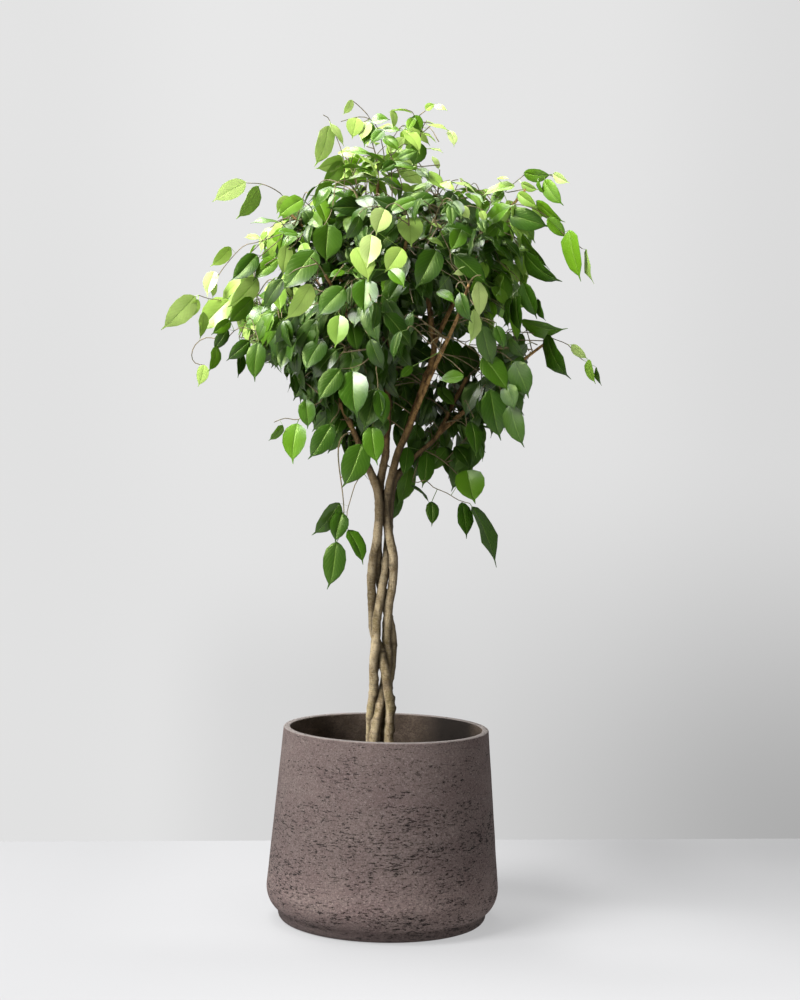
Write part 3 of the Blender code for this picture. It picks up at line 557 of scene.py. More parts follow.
# Four young figs were plaited while their stems were still soft. Each stem is one piece from the
# soil to the end of its leader, with grey-tan bark, leaf-scar rings, knots and a little green film.
STEM_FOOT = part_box("stem_1")[0].z
STEM_RADIUS_LOW = 0.0070
STEM_RADIUS_PLAIT = 0.0062
STEM_RADIUS_END = 0.0024
STEM_SIDES = 20
LEADER_RADII = {"stem_1": 0.0036, "stem_2": 0.0054, "stem_3": 0.0052, "stem_4": 0.0040}
LEADER_NECK = 0.035
LEADER_LENGTH = 0.42
PLAIT_TOP = 0.655
PLAIT_STEP = 0.0105
PLAIT_CLEARANCE = -0.0004
PLAIT_PASSES = 80
PLAIT_SIDE_SHARE = 0.12
PLAIT_HOLD = 0.85
STEMS_TOUCH = 0.0135
CREVICE_SHADE_FADE = 0.0060
WINDOW_SIDE = Vector((-0.80, -0.55, 0.25)).normalized()
BARK_DARK = (0.170, 0.118, 0.052)
BARK_LIGHT = (0.455, 0.355, 0.210)
BARK_CREASE = (0.580, 0.500, 0.370)
GREEN_FILM = (0.230, 0.195, 0.060)
YOUNG_BARK_DARK = (0.100, 0.050, 0.014)
YOUNG_BARK_LIGHT = (0.400, 0.235, 0.085)
PAINTED_CROWN_SHADOW_BROWN = (0.050, 0.031, 0.009)
LENTICEL_BROWN = (0.040, 0.024, 0.009)
SCAR_BROWN = (0.020, 0.012, 0.005)
BARK_PAINTED_SHADE_BROWN = (0.026, 0.015, 0.005)
STEM_ROUTES = {
    "stem_1": [
        (-0.029, 0.006, 0.180), (-0.026, 0.004, 0.220), (-0.023, 0.002, 0.264), (-0.023, 0.001, 0.309),
        (-0.020, -0.001, 0.340), (-0.021, -0.004, 0.370), (-0.020, -0.009, 0.400), (-0.018, -0.010, 0.427),
        (-0.018, -0.010, 0.444), (-0.015, -0.009, 0.467), (-0.012, -0.008, 0.489), (-0.008, -0.004, 0.511),
        (-0.006, 0.003, 0.533), (-0.005, 0.008, 0.547), (-0.004, 0.010, 0.570), (-0.003, 0.011, 0.614),
        (0.001, 0.012, 0.645), (0.010, 0.014, 0.664), (0.027, 0.016, 0.681), (0.046, 0.020, 0.699),
        (0.062, 0.024, 0.714), (0.076, 0.030, 0.740), (0.090, 0.036, 0.772), (0.108, 0.044, 0.806),
    ],
    "stem_2": [
        (-0.020, -0.020, 0.180), (-0.020, -0.015, 0.220), (-0.019, -0.011, 0.264), (-0.014, -0.010, 0.293),
        (-0.011, -0.007, 0.311), (-0.008, -0.001, 0.330), (-0.005, 0.004, 0.348), (-0.002, 0.007, 0.366),
        (0.000, 0.007, 0.384), (-0.001, 0.004, 0.398), (-0.003, -0.001, 0.411), (-0.003, -0.004, 0.424),
        (-0.002, -0.005, 0.440), (-0.001, -0.006, 0.467), (0.003, -0.006, 0.489), (0.005, -0.006, 0.519),
        (0.003, -0.007, 0.544), (-0.003, -0.008, 0.570), (-0.007, -0.004, 0.592), (-0.009, 0.000, 0.611),
        (-0.005, 0.000, 0.640), (0.001, 0.000, 0.667), (0.007, 0.000, 0.692), (0.018, 0.000, 0.718),
        (0.031, 0.000, 0.757), (0.043, 0.002, 0.794), (0.056, 0.008, 0.840), (0.052, 0.012, 0.880),
        (0.046, 0.014, 0.930), (0.050, 0.014, 1.000), (0.056, 0.012, 1.075),
    ],
    "stem_3": [
        (-0.001, 0.022, 0.180), (-0.002, 0.016, 0.220), (-0.004, 0.010, 0.264), (-0.004, 0.010, 0.311),
        (-0.002, 0.014, 0.334), (0.002, 0.017, 0.352), (0.005, 0.018, 0.372), (0.006, 0.016, 0.392),
        (0.006, 0.012, 0.412), (0.004, 0.010, 0.428), (0.000, 0.010, 0.444), (-0.004, 0.010, 0.459),
        (-0.008, 0.010, 0.474), (-0.012, 0.009, 0.488), (-0.016, 0.009, 0.503), (-0.018, 0.008, 0.518),
        (-0.019, 0.008, 0.537), (-0.020, 0.008, 0.570), (-0.019, 0.007, 0.592), (-0.019, 0.006, 0.622),
        (-0.018, 0.004, 0.648), (-0.014, 0.001, 0.672), (-0.011, 0.000, 0.694), (-0.010, 0.000, 0.733),
        (-0.010, 0.000, 0.769), (-0.014, 0.000, 0.814), (-0.021, 0.000, 0.870), (-0.030, -0.004, 0.940),
        (-0.034, -0.008, 1.010), (-0.032, -0.010, 1.085),
    ],
    "stem_4": [
        (0.010, -0.006, 0.180), (0.007, -0.004, 0.220), (0.004, -0.002, 0.264), (0.005, -0.004, 0.299),
        (0.005, -0.007, 0.316), (0.002, -0.010, 0.332), (0.000, -0.010, 0.349), (-0.004, -0.009, 0.369),
        (-0.009, -0.006, 0.386), (-0.014, 0.000, 0.401), (-0.019, 0.005, 0.416), (-0.023, 0.006, 0.432),
        (-0.025, 0.004, 0.464), (-0.027, -0.001, 0.491), (-0.028, -0.003, 0.502), (-0.027, -0.005, 0.520),
        (-0.024, -0.006, 0.547), (-0.021, -0.006, 0.562), (-0.018, -0.007, 0.599), (-0.021, -0.006, 0.633),
        (-0.029, -0.004, 0.654), (-0.037, -0.002, 0.672), (-0.052, -0.004, 0.706), (-0.074, -0.012, 0.752),
        (-0.100, -0.022, 0.805), (-0.128, -0.034, 0.862),
    ],
}


def smooth_route(points, step):
    """Points about a step apart on a smooth curve through these ones."""
    knots = [Vector(p) for p in points]
    knots = [2 * knots[0] - knots[1], *knots, 2 * knots[-1] - knots[-2]]
    route = [knots[1]]
    for a, b, c, d in zip(knots, knots[1:], knots[2:], knots[3:]):
        count = max(1, round((c - b).length / step))
        for i in range(1, count + 1):
            t = i / count
            square = (2 * a - 5 * b + 4 * c - d) * t**2
            cube = (3 * b - a - 3 * c + d) * t**3
            route.append(0.5 * (2 * b + (c - a) * t + square + cube))
    return route


def at_height(route, height):
    for low, high in zip(route, route[1:]):
        if low.z <= height <= high.z:
            return low.lerp(high, (height - low.z) / (high.z - low.z))
    return route[-1].copy()


def stem_radius(name, height):
    if height < PLAIT_TOP:
        share = (height - STEM_FOOT) / (PLAIT_TOP - STEM_FOOT)
        return STEM_RADIUS_LOW + (STEM_RADIUS_PLAIT - STEM_RADIUS_LOW) * share
    neck = min(1, (height - PLAIT_TOP) / LEADER_NECK)
    radius = STEM_RADIUS_PLAIT + (LEADER_RADII[name] - STEM_RADIUS_PLAIT) * neck
    share = min(1, (height - PLAIT_TOP) / LEADER_LENGTH)
    return radius + (STEM_RADIUS_END - radius) * share**1.5


def plaited(routes):
    """The four routes at shared heights, pushed apart, mostly front to back, until they only touch."""
    fine = {name: smooth_route(points, 0.004) for name, points in routes.items()}
    count = round((PLAIT_TOP - STEM_FOOT) / PLAIT_STEP)
    heights = [STEM_FOOT + (PLAIT_TOP - STEM_FOOT) * i / count for i in range(count + 1)]
    levels = [[at_height(fine[name], z) for name in routes] for z in heights]
    drawn = [[p.x for p in points] for points in levels]
    for _ in range(PLAIT_PASSES):
        for height, points in zip(heights, levels):
            touching = 2 * stem_radius("stem_2", height) + PLAIT_CLEARANCE
            for i, a in enumerate(points):
                for b in points[i + 1:]:
                    apart = (b - a).to_2d()
                    short = touching - apart.length
                    if short > 0:
                        apart.x *= PLAIT_SIDE_SHARE
                        push = apart.normalized() * short / 2
                        a.xy -= push
                        b.xy += push
        for low, middle, high in zip(levels[1:], levels[2:], levels[3:]):
            for a, b, c in zip(low, middle, high):
                b.xy = 0.8 * b.xy + 0.1 * (a.xy + c.xy)
        for points, places in zip(levels, drawn):
            for point, x in zip(points, places):
                point.x += PLAIT_HOLD * (x - point.x)
    plait = {}
    for i, name in enumerate(routes):
        leader = [p for p in smooth_route(routes[name], 0.02) if p.z > PLAIT_TOP + 0.012]
        plait[name] = smooth_route([points[i] for points in levels] + leader, 0.0035)
    return plait


def tube(route, radii, sides, relief=None):
    """A closed tube along a route, made by extruding its end face from ring to ring."""
    bm = bmesh.new()
    bmesh.ops.create_circle(bm, cap_ends=True, segments=sides, radius=1)
    scarred = bm.verts.layers.float.new("scar")
    bm.verts.layers.float.new("bark_painted_shade")
    face = bm.faces[:][0]
    start = list(face.verts)
    across = Vector((1, 0, 0))
    ends = [route[0], *route, route[-1]]
    travelled = 0
    for i, (centre, radius) in enumerate(zip(route, radii)):
        along = (ends[i + 2] - ends[i]).normalized()
        travelled += (centre - ends[i]).length
        across = (across - along * across.dot(along)).normalized()
        side = along.cross(across)
        if i:
            face = bmesh.ops.extrude_discrete_faces(bm, faces=[face])["faces"][0]
        for k, vert in enumerate(face.verts):
            turn = math.tau * k / sides
            swell, vert[scarred] = relief(turn, travelled) if relief else (1, 0)
            vert.co = centre + radius * swell * (math.cos(turn) * across + math.sin(turn) * side)
    bmesh.ops.contextual_create(bm, geom=start)
    bmesh.ops.recalc_face_normals(bm, faces=bm.faces)
    return bm


def bark_relief(seed):
    """Leaf-scar rings every few centimetres, scattered knots and an uneven girth."""
    chance = random.Random(seed)
    rings = []
    spot = 0.01
    while spot < 1.0:
        rings.append((spot, chance.uniform(0.04, 0.15)))
        spot += chance.uniform(0.012, 0.036)
    knots = [
        (chance.uniform(0, 1), chance.uniform(0, math.tau), chance.uniform(0.15, 0.50)) for _ in range(34)
    ]

    def swell(turn, travelled):
        x, y = math.cos(turn), math.sin(turn)
        size = 1 + 0.09 * noise.noise((x * 0.8 + seed, y * 0.8, travelled * 30))
        size += 0.06 * noise.noise((x * 2.2, y * 2.2 + seed, travelled * 110))
        scar = 0
        for place, rise in rings:
            ring = math.exp(-((travelled - place) / 0.0020) ** 2)
            size += rise * ring
            groove = math.exp(-((travelled - place - 0.0028) / 0.0014) ** 2)
            uneven = 0.45 + 0.55 * noise.noise((x * 2, y * 2, place * 90))
            scar = max(scar, 7 * rise * groove * uneven)
        for place, facing, rise in knots:
            if abs(travelled - place) < 0.02:
                near = math.exp(4 * (math.cos(turn - facing) - 1))
                size += rise * near * math.exp(-((travelled - place) / 0.0050) ** 2)
                ringed = math.exp(-((travelled - place - 0.001) / 0.0022) ** 2)
                scar = max(scar, 2.4 * rise * near * ringed)
        return size, min(1, scar)

    return swell


bark = Surface("fig_bark")
height = bark.axes()["Z"]
mottle = bark.band(bark.grain(85, 34, 5, 0.66), 0.38, 0.60)
creases = bark.band(bark.grain(150, 420, 6, 0.78), 0.42, 0.62)
lenticels = bark.band(bark.grain(260, 700, 4, 0.6), 0.57, 0.62)
film = bark.product(bark.band(bark.grain(60, 38, 4, 0.7), 0.44, 0.62), bark.band(height, 0.60, 0.30))
# Painted shadow of the crown on the stems' tops just below it.
painted_crown_shadow = bark.product(bark.band(height, 0.55, 0.62), bark.band(height, 0.78, 0.68))
wood = bark.blend(mottle, BARK_DARK, BARK_LIGHT)
wood = bark.over(wood, creases, 0.30, BARK_CREASE)
wood = bark.over(wood, film, 0.35, GREEN_FILM)
young_wood = bark.blend(mottle, YOUNG_BARK_DARK, YOUNG_BARK_LIGHT)
wood = bark.blend(bark.band(height, 0.60, 0.74), wood, young_wood)
wood = bark.over(wood, painted_crown_shadow, 0.62, PAINTED_CROWN_SHADOW_BROWN)
wood = bark.over(wood, lenticels, 0.42, LENTICEL_BROWN)
wood = bark.over(wood, bark.attribute("scar"), 0.95, SCAR_BROWN)
# Painted shade between the stems and on their sides turned from the window.
wood = bark.over(wood, bark.attribute("bark_painted_shade"), 0.88, BARK_PAINTED_SHADE_BROWN)
bark.set(Base_Color=wood, Roughness=0.78, Specular_IOR_Level=0.3)
bark.relief(creases, 0.7, 0.0010)
bark.relief(lenticels, 0.6, -0.0006)

wood_routes = plaited(STEM_ROUTES)
stem_paths = {}
for name, route in wood_routes.items():
    stem_paths[name] = KDTree(len(route))
    for i, point in enumerate(route):
        stem_paths[name].insert(point, i)
    stem_paths[name].balance()


def paint_bark_shade(bm, own):
    """Paints shade on the bark where another stem presses against it, and on the side turned from the
    window.
    """
    bark_painted_shade = bm.verts.layers.float["bark_painted_shade"]
    bm.normal_update()
    for vert in bm.verts:
        near = min(path.find(vert.co)[2] for name, path in stem_paths.items() if name != own)
        # Painted shade on the side turned from the window.
        turned_away = min(1, max(0, 0.60 - 0.90 * vert.normal.dot(WINDOW_SIDE)))
        vert[bark_painted_shade] = max(0.90 * turned_away, min(1, max(0, (STEMS_TOUCH - near) / CREVICE_SHADE_FADE)))


for seed, (name, route) in enumerate(wood_routes.items(), 1):
    stem = tube(route, [stem_radius(name, p.z) for p in route], STEM_SIDES, bark_relief(seed))
    paint_bark_shade(stem, name)
    show(f"{name}_bark", stem, [bark.material], name)


# Ten main branches fork from the leaders, thinner and browner but with the same bark. Each starts
# inside its leader, a little below the height given, and ends where its last shoot grows on.
BRANCH_RADIUS = 0.0036
BRANCH_END_RADIUS = 0.0019
BRANCH_SIDES = 12
BRANCH_ROOT = 0.012
Branch = namedtuple("Branch", "stem height route")
BRANCHES = {
    "branch_left_high": Branch("stem_3", 0.845, [
        (-0.060, 0.004, 0.905), (-0.110, 0.005, 0.985), (-0.165, 0.000, 1.045),
    ]),
    "branch_left_mid": Branch("stem_4", 0.735, [
        (-0.105, 0.018, 0.790), (-0.165, 0.020, 0.848), (-0.225, 0.010, 0.893),
    ]),
    "branch_right_high": Branch("stem_2", 0.865, [
        (0.096, 0.010, 0.942), (0.140, 0.002, 1.024), (0.185, -0.010, 1.083),
    ]),
    "branch_right_mid": Branch("stem_1", 0.735, [
        (0.122, 0.024, 0.772), (0.175, 0.010, 0.822), (0.224, 0.000, 0.862),
    ]),
    "branch_back": Branch("stem_3", 0.735, [
        (-0.012, 0.048, 0.800), (0.000, 0.098, 0.880), (0.010, 0.150, 0.950),
    ]),
    "branch_back_left": Branch("stem_3", 0.790, [
        (-0.054, 0.050, 0.848), (-0.096, 0.112, 0.908), (-0.130, 0.170, 0.960),
    ]),
    "branch_back_right": Branch("stem_2", 0.775, [
        (0.066, 0.056, 0.842), (0.104, 0.114, 0.912), (0.140, 0.170, 0.968),
    ]),
    "branch_front_left": Branch("stem_3", 0.758, [
        (-0.036, -0.048, 0.820), (-0.072, -0.106, 0.892), (-0.100, -0.155, 0.938),
    ]),
    "branch_front_right": Branch("stem_2", 0.745, [
        (0.052, -0.046, 0.805), (0.084, -0.106, 0.880), (0.100, -0.160, 0.930),
    ]),
    "branch_front": Branch("stem_3", 0.830, [
        (-0.008, -0.044, 0.895), (0.006, -0.094, 0.962), (0.014, -0.140, 1.010),
    ]),
}


def tapered(thick, thin, route):
    last = len(route) - 1
    return [thick + (thin - thick) * i / last for i in range(last + 1)]


for seed, (name, branch) in enumerate(BRANCHES.items(), 11):
    fork = at_height(wood_routes[branch.stem], branch.height - BRANCH_ROOT)
    route = smooth_route([fork, *branch.route], 0.006)
    wood_routes[name] = route
    girth = tapered(BRANCH_RADIUS, BRANCH_END_RADIUS, route)
    show(f"{name}_bark", tube(route, girth, BRANCH_SIDES, bark_relief(seed)), [bark.material], name)


# A leaf is a thin glossy blade with a sunken midrib and a long drip tip on a short stalk. One
# pattern leaf holds its outline and veins, and every leaf of the crown is bent from a copy of it.
UP = Vector((0, 0, 1))
BLADE_OUTLINE = (
    (0, 0.06), (0.05, 0.42), (0.17, 0.84), (0.36, 1.0), (0.55, 0.93),
    (0.71, 0.66), (0.82, 0.32), (0.88, 0.10), (1, 0.02),
)
BLADE_THICKNESS = 0.00035
STALK_RADIUS = 0.00060
FOLD_RANGE = (0.05, 0.27)
RIPPLE_RANGE = (0.01, 0.05)
OLD_GREENS = ((0.007, 0.030, 0.0012), (0.030, 0.098, 0.003))
GROWN_GREENS = ((0.080, 0.215, 0.006), (0.170, 0.360, 0.014))
YOUNG_GREENS = ((0.450, 0.670, 0.100), (0.740, 0.860, 0.350))
BLOTCH_GREEN = (0.060, 0.145, 0.007)
VEIN_GREEN = (0.140, 0.260, 0.020)
RIB_GREEN = (0.200, 0.330, 0.050)
UNDERSIDE_GREEN = (0.100, 0.190, 0.022)
GREEN_LIT_THROUGH = (0.40, 0.62, 0.02)
SHEEN_GREEN = (0.80, 1.0, 0.35)

pattern = bmesh.new()
blade_rows = len(BLADE_OUTLINE) - 1
bmesh.ops.create_grid(pattern, x_segments=2, y_segments=blade_rows, size=1)
vein_map = pattern.loops.layers.uv.new("veins")
bmesh.ops.solidify(pattern, geom=pattern.faces[:], thickness=-1)
under = pattern.verts.layers.float.new("under")
pattern.verts.layers.float.new("youth")
pattern.verts.layers.float.new("tone")
for face in pattern.faces:
    for loop in face.loops:
        loop[vein_map].uv = (loop.vert.co.x * 0.5 + 0.5, loop.vert.co.y * 0.5 + 0.5)
for vert in pattern.verts:
    vert[under] = vert.co.z < 0.5
    height, width = BLADE_OUTLINE[round((vert.co.y + 1) / 2 * blade_rows)]
    vert.co = (vert.co.x * width, height, vert.co.z - 0.5)
stalk_place = Matrix.Translation((0, -0.501, 0)) @ Matrix.Rotation(math.radians(90), 4, "X")
stalk = bmesh.ops.create_cone(
    pattern, cap_ends=True, segments=4, radius1=1, radius2=1, depth=1, matrix=stalk_place
)
for vert in stalk["verts"]:
    for loop in vert.link_loops:
        loop[vein_map].uv = (0.5, 0.0)
bmesh.ops.recalc_face_normals(pattern, faces=pattern.faces)
leaf_pattern = bpy.data.meshes.new("leaf_pattern")
pattern.to_mesh(leaf_pattern)
pattern.free()

leaf = Surface("fig_leaf")
veins = leaf.node("SeparateXYZ", leaf.node("UVMap").outputs["UV"]).outputs
off_rib = leaf.maths("ABSOLUTE", leaf.maths("SUBTRACT", veins["X"], 0.5))
rib = leaf.band(off_rib, 0.040, 0.010)
slant = leaf.maths("SUBTRACT", leaf.product(veins["Y"], 13.0), leaf.product(off_rib, 7.0))
side_veins = leaf.band(leaf.maths("SINE", leaf.product(slant, math.tau)), 0.55, 1.0)
youth, tone, below = leaf.attribute("youth"), leaf.attribute("tone"), leaf.attribute("under")
old, grown, young = (leaf.blend(tone, *greens) for greens in (OLD_GREENS, GROWN_GREENS, YOUNG_GREENS))
green = leaf.blend(leaf.band(youth, 0.0, 0.5), old, grown)
green = leaf.blend(leaf.band(youth, 0.38, 0.90), green, young)
blotch = leaf.band(leaf.grain(55, 55, 3, 0.6), 0.35, 0.7)
green = leaf.over(green, blotch, 0.12, BLOTCH_GREEN)
green = leaf.over(green, side_veins, 0.12, VEIN_GREEN)
green = leaf.over(green, rib, 0.40, RIB_GREEN)
green = leaf.over(green, below, 0.40, UNDERSIDE_GREEN)
leaf.set(Base_Color=green, Roughness=leaf.ramp(below, 0, 1, 0.36, 0.55))
leaf.set(Specular_IOR_Level=0.45, Specular_Tint=SHEEN_GREEN)
leaf.set(Coat_Weight=0.60, Coat_Roughness=0.27, Coat_IOR=1.6)
firm = leaf.ramp(youth, 0, 1, 0.6, 0.12)
half_way = leaf.product(leaf.maths("SUBTRACT", off_rib, 0.22), 4.5)
swell = leaf.maths("SUBTRACT", 1.0, leaf.product(half_way, half_way))
leaf.relief(leaf.maths("SUBTRACT", 1.0, rib), firm, 0.0007)
leaf.relief(side_veins, leaf.ramp(youth, 0, 1, 0.35, 0.0), -0.0005)
leaf.relief(swell, firm, 0.0018)
glow = leaf.node("BsdfTranslucent", Color=leaf.blend(0.5, green, GREEN_LIT_THROUGH)).outputs["BSDF"]
thinness = leaf.ramp(youth, 0, 1, 0.14, 0.40)
blade = leaf.node("MixShader", thinness, leaf.shader.outputs["BSDF"], glow)
leaf.feed(leaf.tree.nodes["Material Output"].inputs["Surface"], blade.outputs["Shader"])


def add_leaf(bm, root, neck, axis, top, length, width, youth, bend, chance, outness=1.0):
    """A copy of the pattern leaf, bent and waved, with its stalk from the twig to its neck."""
    before = len(bm.verts)
    bm.from_mesh(leaf_pattern)
    bm.verts.ensure_lookup_table()
    youth_layer, tone_layer = bm.verts.layers.float["youth"], bm.verts.layers.float["tone"]
    # Painted shade: a leaf with a small outness, deep, low or in a hollow of the crown, gets a darker tone.
    tone = chance.random() * (0.35 + 0.65 * outness)
    top = (top - axis * top.dot(axis)).normalized()
    side = axis.cross(top)
    fold = chance.uniform(*FOLD_RANGE)
    lean = chance.uniform(-0.3, 0.3)
    ripple, phase = chance.uniform(*RIPPLE_RANGE), chance.uniform(0, math.tau)
    hook = chance.uniform(-1.2, 1.2)
    sag = (neck - root).length * 0.15
    for vert in bm.verts[before:]:
        x, y, z = vert.co
        vert[youth_layer] = youth
        vert[tone_layer] = tone
        if y < 0:
            vert.co = root.lerp(neck, 1 + y) + UP * sag * (1 + y) * -y + (side * x + top * z) * STALK_RADIUS
            continue
        turn = bend * y
        centre = neck + length * (axis * math.sin(turn) - top * (1 - math.cos(turn))) / bend
        centre += side * length * hook * 0.30 * max(0, y - 0.5) ** 2
        raised = top * math.cos(turn) + axis * math.sin(turn)
        half = width / 2 * x
        wave = ripple * length * math.sin(y * 11 + phase) * abs(x) * (1 if x > 0 else -0.7)
        lift = fold * abs(half) + wave + lean * half * y
        vert.co = centre + side * half + raised * (lift + z * BLADE_THICKNESS)


# The crown is a dome of hanging leaves, as wide as the outline below and a little less deep, open
# low in front, where the leaders show, and with a few shaded hollows between its clumps of leaves.
# A row of the outline is a height with the left and right edges there, as seen from the front.
CROWN_OUTLINE = [
    (0.616, -0.040, 0.100), (0.638, -0.062, 0.118), (0.667, -0.078, 0.124), (0.696, -0.100, 0.130),
    (0.726, -0.125, 0.175), (0.756, -0.138, 0.185), (0.785, -0.158, 0.194), (0.814, -0.185, 0.198),
    (0.843, -0.235, 0.186), (0.872, -0.262, 0.178), (0.901, -0.272, 0.192), (0.931, -0.260, 0.198),
    (0.961, -0.236, 0.198), (0.991, -0.216, 0.192), (1.020, -0.190, 0.198), (1.042, -0.168, 0.214),
    (1.064, -0.156, 0.222), (1.079, -0.130, 0.203), (1.093, -0.116, 0.120), (1.114, -0.108, 0.056),
    (1.136, -0.096, 0.052), (1.158, -0.090, 0.046), (1.180, -0.078, 0.038), (1.196, -0.060, 0.012),
]
CROWN_DEPTH_SHARE = 1.08
SHADY_HOLLOWS = (
    (-0.080, 0.840, 0.085, 0.040),
    (0.025, 0.905, 0.090, 0.036),
    (0.095, 1.010, 0.060, 0.045),
)


def seen_from_front(point):
    """Where a point is seen in the upright plane through the planter's axis."""
    eye = Vector(CAMERA_PLACE)
    share = eye.y / (eye.y - point.y)
    return eye.x + (point.x - eye.x) * share, eye.z + (point.z - eye.z) * share


def out_share(point, margin=0.0):
    """How far out in the crown a point is: 0 on its axis, 1 at its skin."""
    x, z = seen_from_front(point)
    for low, high in zip(CROWN_OUTLINE, CROWN_OUTLINE[1:]):
        if low[0] <= z <= high[0]:
            share = (z - low[0]) / (high[0] - low[0])
            left, right = (a + (b - a) * share for a, b in zip(low[1:], high[1:]))
            half = (right - left) / 2 + margin
            across = abs(x - (left + right) / 2) / half
            return across**3 + abs(point.y / (half * CROWN_DEPTH_SHARE))**3
    return 2


def in_crown(point, margin=0.0):
    return out_share(point, margin) < 1


def in_window(point):
    """The open place low in the middle of the crown, where the leaders show."""
    x, z = seen_from_front(point)
    return point.y < 0.025 and -0.020 < x - 0.25 * (z - 0.70) < 0.075 and 0.67 < z < 0.90


def shaded(point):
    """How far a leaf is in one of the crown's shaded hollows, from 0 to 1."""
    x, z = seen_from_front(point)
    return max(
        math.exp(-(((x - a) / wide) ** 2) - ((z - b) / high) ** 2) for a, b, wide, high in SHADY_HOLLOWS
    )


